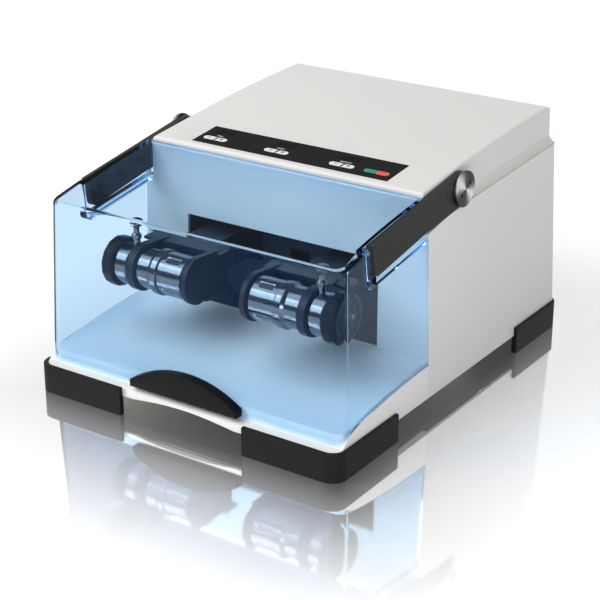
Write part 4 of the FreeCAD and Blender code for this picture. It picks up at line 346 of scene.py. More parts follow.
def metal_with_painted_bow(name):
    """The end of a turned disc, its colour as bright as (1 + cos 2(angle - turn)) / 2 cubed: a painted
    highlight.
    """
    shade = Shade(name)
    where = shade.place()
    across = shade.split(where, "Y") - PIVOT_Y * MM
    up = shade.split(where, "Z") - PIVOT_Z * MM
    reach = across * across + up * up + NOT_ZERO
    twice_cos = (across * across - up * up) / reach
    twice_sin = across * up * 2.0 / reach
    # Painted highlight: the lamp's bright reflection on the rings is put into the base colour by angle.
    painted_bow = twice_cos * (math.cos(2 * PAINTED_BOW_TURN) / 2) + twice_sin * (math.sin(2 * PAINTED_BOW_TURN) / 2) + 0.5
    fine = shade.grain(FACE_GRAIN, SOFT_DETAIL, where)
    surface = shade.node("ShaderNodeBsdfPrincipled", {
        "Base Color": shade.blend(painted_bow * painted_bow * painted_bow, PAINTED_BOW_DARK, PAINTED_BOW_BRIGHT),
        "Metallic": 1.0,
        "Roughness": fine * FACE_GLOSS + FACE_ROUGHNESS,
    })
    return shade.finish(surface)


finishes["turned_disc"] = metal_with_painted_bow("faced aluminium with painted bow")
print("bow at", round(math.degrees(PAINTED_BOW_TURN)), "degrees from the back of the disc")

# %% [markdown]
# ## The blue lid
# The lid is one clear moulded shell. Its blue comes from depth: light that
# crosses a wall loses some red, and light that runs along an edge loses
# nearly all of it, so the edges go deeper. A volume that absorbs does that on
# its own. Lamp rays pass through as through a plain tinted film, so that the
# jars below are lit cleanly, and the mirror images on the skin are tinted too,
# because a white sheen would hide what lies behind.

# %% Tinted polycarbonate
WALL_TINT = (0.04, 0.53, 0.90, 1.0)
TINT_DENSITY = 64.0
LAMP_TINT = (0.84, 0.94, 0.99, 1.0)
SHEEN_TINT = (0.15, 0.40, 1.0, 1.0)
LID_BEND = 1.25


def lid_plastic():
    """Clear plastic with a blue volume, and a film for the rays that come from the lamps."""
    shade = Shade("blue polycarbonate")
    clear = shade.node("ShaderNodeBsdfPrincipled", {
        "Base Color": WHITE,
        "Roughness": 0.0,
        "IOR": LID_BEND,
        "Transmission Weight": 1.0,
        "Specular Tint": SHEEN_TINT,
    })
    film = shade.node("ShaderNodeBsdfTransparent", {"Color": LAMP_TINT})
    surface = shade.node("ShaderNodeMixShader", {0: shade.ray("Is Shadow Ray"), 1: clear, 2: film})
    volume = shade.node("ShaderNodeVolumeAbsorption", {"Color": WALL_TINT, "Density": TINT_DENSITY})
    return shade.finish(surface, volume)


finishes["lid_blue"] = lid_plastic()
print("finishes with the disc and the lid", len(finishes))

# %% [markdown]
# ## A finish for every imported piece
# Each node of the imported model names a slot, and the slot names its finish.
# Only the screws of the arms differ from their slot: they are blackened.

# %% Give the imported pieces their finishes
for node, thing in NODES.items():
    thing.data.materials.clear()
    thing.data.materials.append(finishes["arm_black" if node == "arm_screws" else SLOT_OF[node]])
print("dressed", len(NODES), "packed pieces")

# %% [markdown]
# ## New pieces for old
# A new piece can stand for a packed one. It then rides on the same moving
# body and wears the same slot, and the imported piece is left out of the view.
# The mesh already holds its place, so the object itself stays at the origin.

# %% Put a piece in the scene and let it stand for a packed one


def put(name, data):
    """A new object in the scene, which carries this mesh, lamp or camera."""
    thing = bpy.data.objects.new(name, data)
    bpy.context.scene.collection.objects.link(thing)
    return thing


def dress(piece, node):
    """Let a new piece stand for a packed one: same body, same slot."""
    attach(piece, BODY_OF[node])
    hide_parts(node)
    if not piece.data.materials:
        piece.data.materials.append(finishes[SLOT_OF[node]])
    return piece


print("pieces can be replaced")

# %% [markdown]
# ## Softened edges
# No moulded or cast edge is perfectly sharp: a narrow rounding catches the
# light as a thin line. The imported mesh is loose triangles, so a copy is
# merged, its flat faces are joined, and a bevel of a fraction of a millimetre
# rounds each edge that turns by more than a given angle.

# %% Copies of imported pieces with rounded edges
PACKED_MERGE = 0.000004
FLAT_TURN = math.radians(0.3)
EDGE_TURN = math.radians(32.0)
EDGE_STEPS = 2
EDGE_WIDTHS = {
    "rear_housing": 0.0005, "top_cover": 0.0004, "base_tray": 0.0005, "left_lid_arm": 0.0006,
    "right_lid_arm": 0.0006, "left_swing_arm": 0.0008, "right_swing_arm": 0.0008,
    "guard_liner": 0.0005, "front_left_foot": 0.0005, "front_right_foot": 0.0005,
    "rear_left_foot": 0.0005, "rear_right_foot": 0.0005, "lid_handle": 0.0003,
}


def soften(node, width):
    """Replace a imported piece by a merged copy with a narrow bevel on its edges."""
    mesh = NODES[node].data.copy()
    mesh.name = f"{node}_dressed"
    work = bmesh.new()
    work.from_mesh(mesh)
    bmesh.ops.remove_doubles(work, verts=work.verts, dist=PACKED_MERGE)
    bmesh.ops.dissolve_limit(work, angle_limit=FLAT_TURN, verts=work.verts, edges=work.edges)
    work.to_mesh(mesh)
    work.free()
    mesh.shade_smooth()
    mesh.set_sharp_from_angle(angle=EDGE_TURN)
    piece = put(f"{node}_dressed", mesh)
    bevel = piece.modifiers.new("edges", "BEVEL")
    bevel.width = width
    bevel.segments = EDGE_STEPS
    bevel.limit_method = "ANGLE"
    bevel.angle_limit = EDGE_TURN
    bevel.harden_normals = True
    return dress(piece, node)


for node, width in EDGE_WIDTHS.items():
    soften(node, width)
print("softened", len(EDGE_WIDTHS), "pieces")

# %% [markdown]
# ## Surfaces worked out from formulas
# The jars, sleeves, pins, discs and handwheels come off a lathe. A lathe part
# is a profile, a row of places along the axis with a radius at each, carried
# round that axis. As arrays that is one line of arithmetic, and anything that
# is milled afterwards is a change of the radius over part of the surface.

# %% Meshes from grids of points
NEW_MERGE = 0.000002
CRISP_TURN = math.radians(38.0)
ALONG = {"X": (1, 0, 0), "Z": (0, 0, 1)}
PERPENDICULAR = {"X": ((0, 1, 0), (0, 0, 1)), "Z": ((1, 0, 0), (0, 1, 0))}
COLUMNS = 128


def mesh_piece(name, vertices, faces):
    """An object at the origin: doubles merged, faces turned outwards, edges over the turn kept crisp."""
    mesh = bpy.data.meshes.new(name)
    mesh.from_pydata(vertices.tolist(), [], faces.tolist())
    work = bmesh.new()
    work.from_mesh(mesh)
    bmesh.ops.remove_doubles(work, verts=work.verts, dist=NEW_MERGE)
    bmesh.ops.recalc_face_normals(work, faces=work.faces)
    work.to_mesh(mesh)
    work.free()
    mesh.shade_smooth()
    mesh.set_sharp_from_angle(angle=CRISP_TURN)
    return put(name, mesh)


def grid_faces(rows, columns):
    """The quads of a grid whose last column joins its first."""
    index = np.arange(rows * columns).reshape(rows, columns)
    index = np.concatenate([index, index[:, :1]], axis=1)
    corners = (index[:-1, :-1], index[:-1, 1:], index[1:, 1:], index[1:, :-1])
    return np.stack(corners, axis=-1).reshape(-1, 4)


def round_angles(columns):
    """Evenly spaced angles of one full turn, without the last, which is the first again."""
    return np.linspace(0.0, 2.0 * np.pi, columns, endpoint=False)


def turned(name, places, radii, centre, axis="X", columns=COLUMNS):
    """Carry a profile round an axis.

    The point at place p and radius r, at angle a, is centre + p * along +
    r * (cos a * first + sin a * second). Places and radii may change with the angle too.
    """
    along = np.array(ALONG[axis], float)
    first, second = (np.array(side, float) for side in PERPENDICULAR[axis])
    angle = round_angles(columns)
    places = np.broadcast_to(places.reshape(len(places), -1), (len(places), columns))
    radii = np.broadcast_to(radii.reshape(len(radii), -1), (len(radii), columns))
    round_it = np.cos(angle)[:, None] * first + np.sin(angle)[:, None] * second
    points = np.array(centre) + places[..., None] * along + radii[..., None] * round_it
    return mesh_piece(name, points.reshape(-1, 3) * MM, grid_faces(len(places), columns))


print("a turned piece has", COLUMNS, "columns unless it needs more")

# %% [markdown]
# ## Profiles
# A drawing gives a profile by its corners. A real corner is eased by the
# tool, and a parabola that starts a little before it and ends a little after
# is the simplest curve that does so. Long straight stretches get more points
# where the surface is to be milled later.

# %% Eased corners and finer steps
EASE_SHARE = 0.45
EASE_STEPS = 5


def eased(corners, radius):
    """Round each inner corner of a profile with a parabola whose ends lie radius before and after it."""
    corners = np.array(corners, float)
    share = np.linspace(0.0, 1.0, EASE_STEPS)[:, None]
    pieces = [corners[:1]]
    for before, corner, after in zip(corners[:-2], corners[1:-1], corners[2:]):
        back, ahead = before - corner, after - corner
        reach_back, reach_ahead = np.hypot(*back), np.hypot(*ahead)
        start = corner + back / reach_back * min(radius, reach_back * EASE_SHARE)
        end = corner + ahead / reach_ahead * min(radius, reach_ahead * EASE_SHARE)
        pieces.append((1 - share) ** 2 * start + 2 * share * (1 - share) * corner + share ** 2 * end)
    pieces.append(corners[-1:])
    return np.concatenate(pieces)


def refined(profile, spacing):
    """Add points to a profile until none are further apart than the spacing."""
    reach = np.hypot(*np.diff(profile, axis=0).T)
    distance = np.concatenate([[0.0], np.cumsum(reach)])
    wanted = np.union1d(distance, np.arange(0.0, distance[-1], spacing))
    return np.stack([np.interp(wanted, distance, profile[:, k]) for k in (0, 1)], axis=-1)


print("each eased corner has", EASE_STEPS, "points")

# %% [markdown]
# ## The grinding jars' grips
# Four flat grips are milled into each half of a jar, so that fingers or a key
# can hold it. A milled grip is flat, so at an angle d from its middle its
# floor lies at (radius - depth) / cos d, and a rounded rectangle says where
# it was cut. The same rectangle says where the painted highlight on its edge runs.

# %% Milled grips, in millimetres
JAR_Y, JAR_Z = -148.0, 129.0
GRIP_STEP = 2.0 * np.pi / 4
GRIP_PHASE = math.radians(120.0)
GRIP_DEPTH = 1.0
GRIP_HALF_WIDTH = 4.0
GRIP_CORNER = 2.5
GRIP_WALL = 0.5
SKIN_BAND = 0.2
HIGHLIGHT_BAND, HIGHLIGHT_BELOW = 0.8, 1.5


def grip_distance(places, angle, top, middle, half_length):
    """Millimetres outside the nearest grip's outline, and the angle from that grip's middle.

    The outline is a rounded rectangle on the skin, and inside it the distance is negative.
    """
    away = (angle - GRIP_PHASE + GRIP_STEP / 2) % GRIP_STEP - GRIP_STEP / 2
    across = np.abs(away) * top - (GRIP_HALF_WIDTH - GRIP_CORNER)
    along = np.abs(places - middle) - (half_length - GRIP_CORNER)
    outside = np.hypot(np.maximum(across, 0), np.maximum(along, 0)) - GRIP_CORNER
    return outside + np.minimum(np.maximum(across, along), 0), away


def grip_cut(places, radii, middle, half_length, columns):
    """The radius after milling: the lower of the turned skin and the flat floor, inside the outline."""
    angle = round_angles(columns)
    top = radii.max()
    distance, away = grip_distance(places[:, None], angle[None, :], top, middle, half_length)
    inside = np.clip(0.5 - distance / GRIP_WALL, 0.0, 1.0)
    inside = inside * inside * (3.0 - 2.0 * inside)
    floor = np.minimum(radii[:, None], (top - GRIP_DEPTH) / np.cos(away))
    on_skin = (radii > top - SKIN_BAND)[:, None]
    return np.where(on_skin, radii[:, None] * (1 - inside) + floor * inside, radii[:, None])


def mark_edge_highlights(piece, side, top, middle, half_length):
    """Store the share of painted highlight at each point: 1 on a grip's edge, 0 a band away from it."""
    points = np.zeros(len(piece.data.vertices) * 3)
    piece.data.vertices.foreach_get("co", points)
    x, y, z = (points.reshape(-1, 3) / MM - (0, JAR_Y, JAR_Z)).T
    distance, away = grip_distance(x * side, np.arctan2(z, y), top, middle, half_length)
    highlight_share = np.clip(1.0 - np.abs(distance) / HIGHLIGHT_BAND, 0.0, 1.0) * (np.hypot(y, z) > top - HIGHLIGHT_BELOW)
    piece.data.attributes.new("painted_edge_highlight", "FLOAT", "POINT").data.foreach_set("value", highlight_share)


print("grips on each half:", round(2.0 * math.pi / GRIP_STEP))

# %% [markdown]
# ## The grinding jars
# Each jar is a cup with a screw cap, turned from stainless steel. The corners
# are pairs of a place along the jar's axis and a radius, from the middle of
# the machine outwards. The skin is cut into steps of half a millimetre, so
# that the milled outlines come out round.

# %% Cup and cap of each jar, in millimetres
BORE, NECK, CUP_RADIUS, CAP_RADIUS = 15.5, 18.5, 22.5, 24.0
CUP = [(39.1, 0), (39.1, 20), (42.1, 20.2), (42.1, CUP_RADIUS), (71.9, CUP_RADIUS), (72.0, NECK),
       (78.0, NECK), (78.0, BORE), (46.1, BORE), (46.1, 0)]
CAP = [(92.9, 0), (92.9, BORE), (78.1, BORE), (78.1, 18.6), (72.15, 18.6), (72.15, CAP_RADIUS),
       (80.1, CAP_RADIUS), (83.1, 21.3), (99.9, 21.3), (99.9, 0)]
CUP_GRIP = {"middle": 57.0, "half_length": 9.0}
CAP_GRIP = {"middle": 90.6, "half_length": 6.5}
CUP_EASE, CAP_EASE = 0.9, 1.0
JAR_SPACING = 0.48
JAR_COLUMNS = 320


def on_jar_axis(name, side, places, radii, columns=COLUMNS, behind=0.0):
    """A turned piece on the axis of one side's jar, or that far behind it."""
    return turned(name, places * side, radii, (0, JAR_Y + behind, JAR_Z), "X", columns)


def jar_part(name, side, corners, ease, middle, half_length):
    """A turned half of a jar with its grips, on the jar's axis."""
    profile = refined(eased(corners, ease), JAR_SPACING)
    radii = grip_cut(profile[:, 0], profile[:, 1], middle, half_length, JAR_COLUMNS)
    piece = on_jar_axis(name, side, profile[:, 0], radii, JAR_COLUMNS)
    mark_edge_highlights(piece, side, profile[:, 1].max(), middle, half_length)
    return piece


for word, side in SIDES.items():
    cup = dress(jar_part(f"{word}_jar_cup", side, CUP, CUP_EASE, **CUP_GRIP), f"{word}_jar_body")
    cap = dress(jar_part(f"{word}_jar_lid", side, CAP, CAP_EASE, **CAP_GRIP), f"{word}_jar_cap")
    print(word, "jar:", len(cup.data.polygons), "faces on the cup,", len(cap.data.polygons), "on the cap")

# %% [markdown]
# ## The handwheels
# A black wheel with fourteen flats turns the clamp's screw. The radius of
# such a wheel at angle a is that of a polygon: the largest radius times
# cos(half a facet) / cos(the angle from the facet's middle). Moulded corners
# are blunt, so that share stops just under 1. Only the rim has flats, and a
# ramp over the radius fades them out towards the hub.

# %% Faceted wheels with a steel bush, in millimetres
FACETS, FACET_COLUMNS = 14, 12
BLUNT = 0.9975
RIM_START, RIM_RAMP = 17.5, 4.0
WHEEL_IN, WHEEL_OUT = 127.0, 142.0
WHEEL_EASE, WHEEL_SPACING = 0.9, 0.8
WHEEL = [(WHEEL_IN, 0), (WHEEL_IN, 22.9), (WHEEL_IN + 1.8, 26.4), (WHEEL_OUT - 2.6, 26.4),
         (WHEEL_OUT, 23.1), (WHEEL_OUT, 18.2), (WHEEL_OUT - 1.1, 16.6), (WHEEL_OUT - 1.2, 0)]
BUSH = [(0.0, 0.0), (0.0, 1.3), (2.2, 1.3), (2.2, 2.3), (0.6, 2.4), (0.6, 2.6)]
BUSH_SUNK, BUSH_BEHIND, BUSH_COLUMNS = 3.2, 9.0, 40


def make_wheel(word, side):
    """The faceted wheel: a turned profile whose radius follows a polygon with blunt corners."""
    columns = FACETS * FACET_COLUMNS
    profile = refined(eased(WHEEL, WHEEL_EASE), WHEEL_SPACING)
    step = 2.0 * np.pi / FACETS
    away = (round_angles(columns) + step / 2) % step - step / 2
    polygon = np.minimum(math.cos(step / 2) / np.cos(away), BLUNT)
    rim = np.clip((profile[:, 1:] - RIM_START) / RIM_RAMP, 0.0, 1.0)
    radii = profile[:, 1:] * (1.0 - rim * (1.0 - polygon[None, :]))
    return on_jar_axis(f"{word}_faceted_wheel", side, profile[:, 0], radii, columns)


def make_bush(word, side):
    """The small steel bush in the wheel's face: a ring with a dark bottom."""
    ring = np.array(BUSH)
    places = ring[:, 0] + WHEEL_OUT - BUSH_SUNK
    bush = on_jar_axis(f"{word}_wheel_bush", side, places, ring[:, 1], BUSH_COLUMNS, BUSH_BEHIND)
    bush.data.materials.append(finishes["steel_plain"])
    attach(bush, f"{word}_wheel")


print("a handwheel has", FACETS, "flats of", FACET_COLUMNS, "columns")

# %% [markdown]
# ## Sleeve, spindle and locking pin
# The clamp presses the jar against the far cheek. A stepped steel sleeve
# carries the screw, the spindle ends in a pressure pad, and an upright pin
# with a mushroom head locks it all. Every one is a plain lathe part, so two
# short functions, one for each axis, are enough for them. One loop then makes
# both stations, each with its handwheel.

# %% Clamps, in millimetres: places along the axis, then radii
SLEEVE = [(109.0, 7.1), (109.0, 19.8), (112.0, 19.8), (112.0, 22.0), (126.0, 22.0), (126.0, 7.1)]
SPINDLE = [(100.1, 0), (100.1, 14.0), (103.6, 14.0), (103.6, 7.0), (126.8, 7.0), (126.8, 4.0),
           (139.5, 4.0), (139.5, 0)]
PIN = [(136.3, 0), (136.3, 2.5), (158.2, 2.5), (158.2, 5.2), (162.2, 5.2), (164.4, 3.0), (170.0, 3.0),
       (172.6, 6.6), (176.4, 6.6), (177.5, 4.2), (177.5, 0)]
BOSS = [(145.0, 2.55), (145.0, 3.9), (158.0, 3.9), (158.0, 2.55)]
SLEEVE_EASE, SLEEVE_SPACING, SPINDLE_EASE, PIN_EASE, BOSS_EASE = 0.8, 2.0, 0.6, 0.7, 0.5
PIN_X = 113.0
PIN_COLUMNS = 64


def closed(corners):
    """An outline that ends where it starts, for a ring."""
    return corners + corners[:1]


def upright(name, side, profile):
    """A turned piece that stands on the jar's middle line at the locking pin's place."""
    return turned(name, profile[:, 0], profile[:, 1], (PIN_X * side, JAR_Y, 0), "Z", PIN_COLUMNS)


for word, side in SIDES.items():
    wheel = dress(make_wheel(word, side), f"{word}_handwheel")
    make_bush(word, side)
    profile = refined(eased(closed(SLEEVE), SLEEVE_EASE), SLEEVE_SPACING)
    dress(on_jar_axis(f"{word}_sleeve_turned", side, profile[:, 0], profile[:, 1]), f"{word}_clamp_sleeve")
    profile = eased(SPINDLE, SPINDLE_EASE)
    dress(on_jar_axis(f"{word}_spindle_turned", side, profile[:, 0], profile[:, 1]), f"{word}_clamp_spindle")
    dress(upright(f"{word}_pin_turned", side, eased(PIN, PIN_EASE)), f"{word}_locking_pin")
    dress(upright(f"{word}_pin_boss", side, eased(closed(BOSS), BOSS_EASE)), f"{word}_clamp_sleeve")
    print(word, "station: its handwheel has", len(wheel.data.polygons), "faces")

# %% [markdown]
# ## The hinge discs
# The lid turns on two pins whose heads are discs of aluminium, faced on a
# lathe. The tool leaves a spiral so fine that it reads as rings. Here they
# are real grooves, a few hundredths of a millimetre deep, which break up the
# mirror images, while the bow of light is a painted highlight in the colour.
# Two holes take a face spanner.

# %% Faced discs with rings and spanner holes, in millimetres
DISC_FACE, DISC_RADIUS, DISC_THICK = 179.25, 18.6, 3.6
DISC_CHAMFER = 0.9
DISC_RIM = [(0.0, DISC_CHAMFER), (0.25, 0.3), (0.8, 0.0), (3.2, 0.0), (DISC_THICK, 0.4)]
STUB_RADIUS, STUB_LENGTH = 6.0, 29.7
RING_PITCH, RING_DEPTH, RING_STEPS = 0.42, 0.035, 4
HOLE_Y, HOLE_Z, HOLE_RADIUS, HOLE_DEPTH, HOLE_WALL = 8.0, 5.0, 1.6, 1.6, 0.3
DISC_COLUMNS = 240


def make_disc(word, side):
    """A disc whose face is face - ring depth * |saw(radius / pitch)|, less a well at each spanner hole."""
    face_radii = np.arange(0.0, DISC_RADIUS - DISC_CHAMFER, RING_PITCH / RING_STEPS)
    saw = np.abs((face_radii / RING_PITCH) % 1.0 - 0.5) * 2.0
    rim = [(DISC_FACE - back, DISC_RADIUS - within) for back, within in DISC_RIM]
    rim += [(DISC_FACE - DISC_THICK, STUB_RADIUS), (DISC_FACE - STUB_LENGTH, STUB_RADIUS),
            (DISC_FACE - STUB_LENGTH, 0.0)]
    rim_places, rim_radii = np.array(rim).T
    places = np.concatenate([DISC_FACE - RING_DEPTH * saw, rim_places])
    radii = np.concatenate([face_radii, rim_radii])
    angle = round_angles(DISC_COLUMNS)
    depth = np.zeros((len(places), DISC_COLUMNS))
    for sign in (-1, 1):
        from_y = radii[:, None] * np.cos(angle) - sign * HOLE_Y
        from_z = radii[:, None] * np.sin(angle) - sign * HOLE_Z
        inside = (HOLE_RADIUS + HOLE_WALL / 2 - np.hypot(from_y, from_z)) / HOLE_WALL
        depth += np.clip(inside, 0.0, 1.0) * HOLE_DEPTH
    depth[len(face_radii):] = 0.0
    places = (places[:, None] - depth) * side
    return turned(f"{word}_hinge_disc", places, radii, (0, PIVOT_Y, PIVOT_Z), "X", DISC_COLUMNS)


for word, side in SIDES.items():
    disc = dress(make_disc(word, side), "lid_hinge_pins")
    print(word, "hinge disc:", len(disc.data.polygons), "faces")

# %% [markdown]
# ## The keypad's print
# The foil carries short words printed in white, and the keys carry their
# signs in grey. They are type turned into thin meshes and laid on the slope:
# across stays across, up the letter becomes up the slope, and the thickness
# points away from it.

# %% Words and bands laid on the slope, in millimetres
SLOPE_RUN, SLOPE_RISE = 68.9, 7.4
SLOPE = math.atan2(SLOPE_RISE, SLOPE_RUN)
SLOPE_START = np.array((0.0, -52.9, 233.0))
ACROSS = np.array((1.0, 0.0, 0.0))
UP_SLOPE = np.array((0.0, math.cos(SLOPE), math.sin(SLOPE)))
OFF_SLOPE = np.array((0.0, -math.sin(SLOPE), math.cos(SLOPE)))
FOIL_TOP, KEY_TOP, PRINT_LIFT = 0.3, 0.9, 0.03
KEY_ROW, LABEL_ROW = 21.5, 29.8
GAP_HALF, GAP_SLANT, KEY_HALF = 0.9, 1.0, 3.6
TYPE_SIZE = 1.4
TYPE_CURVE = 3


def ink(name, colour):
    """Printed ink: a flat colour with a little unevenness."""
    return skin(name, colour, 0.0008, 0.45, 0.000004, 0.02)


def on_slope(flat, across, up, level):
    """Metres of a flat drawing on the slope: start + (x + across) * across + (y + up) * up + level * off."""
    place = SLOPE_START + np.outer(flat[:, 0] + across, ACROSS) + np.outer(flat[:, 1] + up, UP_SLOPE)
    return (place + OFF_SLOPE * (level + PRINT_LIFT)) * MM


def print_sign(name, words, across, up, level, height, weight, finish, body):
    """Lay words on the slope. Weight thickens the strokes by a share of the height."""
    curve = bpy.data.curves.new(name, "FONT")
    curve.body = words
    curve.align_x = "CENTER"
    curve.align_y = "CENTER"
    curve.size = height * TYPE_SIZE
    curve.offset = height * weight
    curve.resolution_u = TYPE_CURVE
    typed = bpy.data.objects.new(name, curve)
    mesh = bpy.data.meshes.new_from_object(typed)
    bpy.data.objects.remove(typed)
    flat = np.zeros(len(mesh.vertices) * 3)
    mesh.vertices.foreach_get("co", flat)
    mesh.vertices.foreach_set("co", on_slope(flat.reshape(-1, 3), across, up, level).ravel())
    mesh.materials.append(finishes[finish])
    piece = put(name, mesh)
    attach(piece, body)


def print_gap(name, across, body):
    """A black band over the slanted gap between two keys, so that they read as two from afar."""
    corners = np.array([(-GAP_HALF - GAP_SLANT, -KEY_HALF), (GAP_HALF - GAP_SLANT, -KEY_HALF),
                        (GAP_HALF + GAP_SLANT, KEY_HALF), (-GAP_HALF + GAP_SLANT, KEY_HALF)])
    mesh = bpy.data.meshes.new(name)
    mesh.from_pydata(on_slope(corners, across, KEY_ROW, KEY_TOP).tolist(), [], [(0, 1, 2, 3)])
    mesh.materials.append(finishes["panel_black"])
    piece = put(name, mesh)
    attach(piece, body)


finishes["white_ink"] = ink("white ink", grey(0.86))
finishes["grey_ink"] = ink("grey ink", linear(0.14, 0.14, 0.15))
print("slope of the keypad:", round(math.degrees(SLOPE), 1), "degrees")

# %% [markdown]
# ## Keys and labels
# Each label stands over a pair of keys, minus on its left and plus on its
# right. So one place per pair gives the label, both signs and the band over
# the gap between the keys. Each sign rides on its key and goes down with it.

# %% Print every sign, band and label
PAIRS = {"time": -99.0, "speed": -21.0, "memory": 59.0}
KEY_APART, GAP_APART = 7.5, 1.5
SIGN_SIZE, SIGN_WEIGHT = 6.0, 0.05
WORD_SIZE, WORD_WEIGHT = 2.3, 0.02
LABEL_SIZE = 2.5
KEY_SIGNS = {
    f"{pair}_{way}_key": (across + turn * KEY_APART, sign)
    for pair, across in PAIRS.items()
    for way, turn, sign in (("minus", -1, "−"), ("plus", 1, "+"))
}
KEY_SIGNS.update(start_key=(92.5, "START"), stop_key=(107.5, "STOP"))
for key, (across, words) in KEY_SIGNS.items():
    height, weight = (WORD_SIZE, WORD_WEIGHT) if len(words) > 1 else (SIGN_SIZE, SIGN_WEIGHT)
    print_sign(f"{key}_sign", words, across, KEY_ROW, KEY_TOP, height, weight, "grey_ink", key)
for pair, across in PAIRS.items():
    print_gap(f"{pair}_plus_key_gap", across + GAP_APART, f"{pair}_plus_key")
for pair, across in PAIRS.items():
    print_sign(f"{pair}_label", pair.upper(), across, LABEL_ROW, FOIL_TOP, LABEL_SIZE, WORD_WEIGHT,
               "white_ink", "housing")
print("signs", len(KEY_SIGNS), "bands and labels", 2 * len(PAIRS))

# %% [markdown]
# ## The table
# The machine stands on a glossy white table. Its mirror image is strong beside
# the feet and fades out within a hand's breadth, so the table's gloss falls
# with the distance from the footprint. A faint glow of its own, seen only by
# the camera and through the lid, keeps the far table as white as the
# surroundings, so that no horizon shows.

# %% A floor whose gloss fades, in metres
FLOOR_HALF = 30.0
FOOTPRINT_HALF = (0.186, 0.231)
MIRROR_NEAR, MIRROR_FAR, MIRROR_REACH = 0.97, 0.05, 0.22
MIRROR_ROUGHNESS = 0.05
TABLE_LIFT, LIFT_FADE = 0.17, 0.7


def table_top():
    """Matt white mixed with a mirror by 1 - distance / reach from the footprint, never below 0."""
    shade = Shade("white table")
    beyond = [(shade.split(shade.place(), axis).size() - half).at_least(0.0)
              for axis, half in zip("XY", FOOTPRINT_HALF)]
    distance = (beyond[0] * beyond[0] + beyond[1] * beyond[1]).root()
    fade = (1.0 - distance * (1.0 / MIRROR_REACH)).at_least(0.0)
    matt = shade.node("ShaderNodeBsdfDiffuse", {"Color": WHITE})
    mirror = shade.node("ShaderNodeBsdfGlossy", {"Color": WHITE, "Roughness": MIRROR_ROUGHNESS})
    gloss = fade * (MIRROR_NEAR - MIRROR_FAR) + MIRROR_FAR
    top = shade.node("ShaderNodeMixShader", {0: gloss, 1: matt, 2: mirror})
    looked_at = shade.ray("Is Camera Ray").at_least(shade.ray("Is Transmission Ray"))
    glow = looked_at * (1.0 - fade * LIFT_FADE) * TABLE_LIFT
    lift = shade.node("ShaderNodeEmission", {"Strength": glow})
    return shade.finish(shade.node("ShaderNodeAddShader", {0: top, 1: lift}))


corners = [(-FLOOR_HALF, -FLOOR_HALF, 0), (FLOOR_HALF, -FLOOR_HALF, 0),
           (FLOOR_HALF, FLOOR_HALF, 0), (-FLOOR_HALF, FLOOR_HALF, 0)]
mesh = bpy.data.meshes.new("table")
mesh.from_pydata(corners, [], [(0, 1, 2, 3)])
mesh.materials.append(table_top())
floor = put("table", mesh)
print("table", 2 * FLOOR_HALF, "metres wide")

# %% [markdown]
# ## The surroundings
# The surroundings are white where the camera looks at them, straight, through
# the lid or in a satin surface. Rays that the lid itself mirrors, or that
# leave the jars through it, find them dim, which keeps dark things dark behind
# the lid and gives the steel its contrast. For plain light they have one even
# level, and a lower one for what has come through the lid.

# %% A world that answers each kind of ray
SKY_LEVEL = 0.58
INNER_SKY = 0.25
STUDIO_DIM = 0.22


def make_world():
    """White where it is looked at, an even level for the light, dim for what the lid mirrors or lets out."""
    world = bpy.data.worlds.new("studio")
    bpy.context.scene.world = world
    shade = Shade("studio", world)
    diffused = shade.ray("Diffuse Depth").at_most(1.0)
    mirrored = shade.ray("Glossy Depth").at_most(1.0)
    through = shade.ray("Is Transmission Ray")
    seen = shade.ray("Is Camera Ray").at_least(shade.ray("Is Glossy Ray")).at_least(through)
    looked_at = seen * (1.0 - diffused)
    satin = (1.0 - shade.ray("Is Singular Ray")) * (1.0 - through)
    white = looked_at * (1.0 - mirrored * (1.0 - satin) * (1.0 - STUDIO_DIM))
    light = diffused * (1.0 - through * (1.0 - INNER_SKY)) * SKY_LEVEL
    background = shade.node("ShaderNodeBackground", {"Strength": white.at_least(light)})
    shade.finish(background, kind="ShaderNodeOutputWorld")


make_world()
print("even light of the surroundings", SKY_LEVEL)

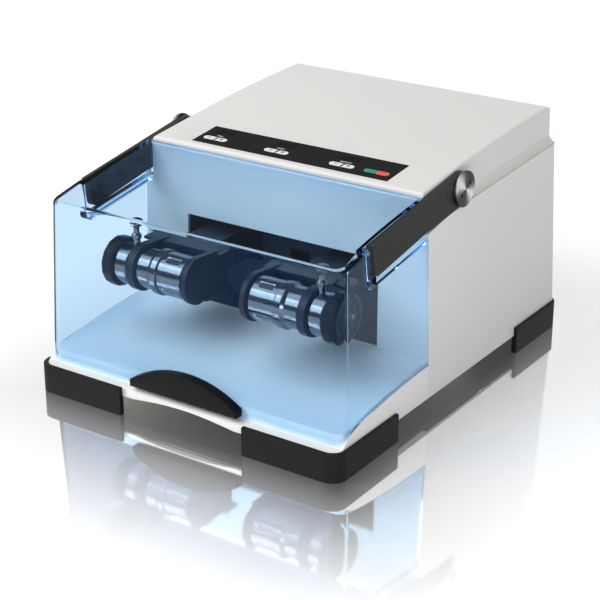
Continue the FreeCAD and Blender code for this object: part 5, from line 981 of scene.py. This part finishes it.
# %% [markdown]
# ## Lamps
# A softbox in front draws the bright stripe along the jars and shades the
# housing, and a low one on the right fills its side. A broad sun gives the
# soft shadow. It is kept out of mirror images, because a disc of light that
# wide would wash out the steel.

# %% Two softboxes and a sun, in metres and watts


def put_light(name, lamp, place, aim, mirrored=True):
    """Hang a lamp at a place, facing its aim. One that isn't mirrored leaves no highlight."""
    thing = put(name, lamp)
    thing.visible_glossy = mirrored
    thing.location = place
    thing.rotation_euler = (Vector(aim) - Vector(place)).to_track_quat("-Z", "Y").to_euler()


def make_lamp(name, place, aim, size, power):
    """A rectangular softbox at a place, turned towards its aim."""
    lamp = bpy.data.lights.new(name, "AREA")
    lamp.shape = "RECTANGLE"
    lamp.size, lamp.size_y = size
    lamp.energy = power
    put_light(name, lamp, place, aim)


def make_sun(name, place, strength, spread):
    """An even light from one direction with soft shadows. Its spread is in degrees."""
    sun = bpy.data.lights.new(name, "SUN")
    sun.energy = strength
    sun.angle = math.radians(spread)
    put_light(name, sun, place, (0, 0, 0), mirrored=False)


make_lamp("front softbox", place=(-1.20, -1.50, 1.40), aim=(0, -0.1, 0.12), size=(1.3, 1.0), power=17)
make_lamp("right fill", place=(1.1, -1.2, 0.2), aim=(0.15, -0.1, 0.08), size=(0.8, 0.3), power=5)
make_sun("broad sun", place=(-0.6, -0.7, 1.7), strength=1.15, spread=50.0)
print("lamps", len(bpy.data.lights))

# %% [markdown]
# ## The camera
# The picture is taken from the right and a little above, with a long lens, so
# that the upright edges stay nearly parallel. The colours go to the screen
# as they are, without a film curve.

# %% Camera and view
LENS, SENSOR = 98.96, 36.0
EYE_PLACE = (0.90964, -1.35902, 0.75388)
EYE_TURN = (67.128, 0.0, 34.17)

camera = bpy.data.cameras.new("camera")
camera.lens = LENS
camera.sensor_width = SENSOR
eye = put("camera", camera)
eye.location = EYE_PLACE
eye.rotation_euler = [math.radians(turn) for turn in EYE_TURN]
bpy.context.scene.camera = eye
bpy.context.scene.view_settings.view_transform = "Standard"
print("camera at", EYE_PLACE)
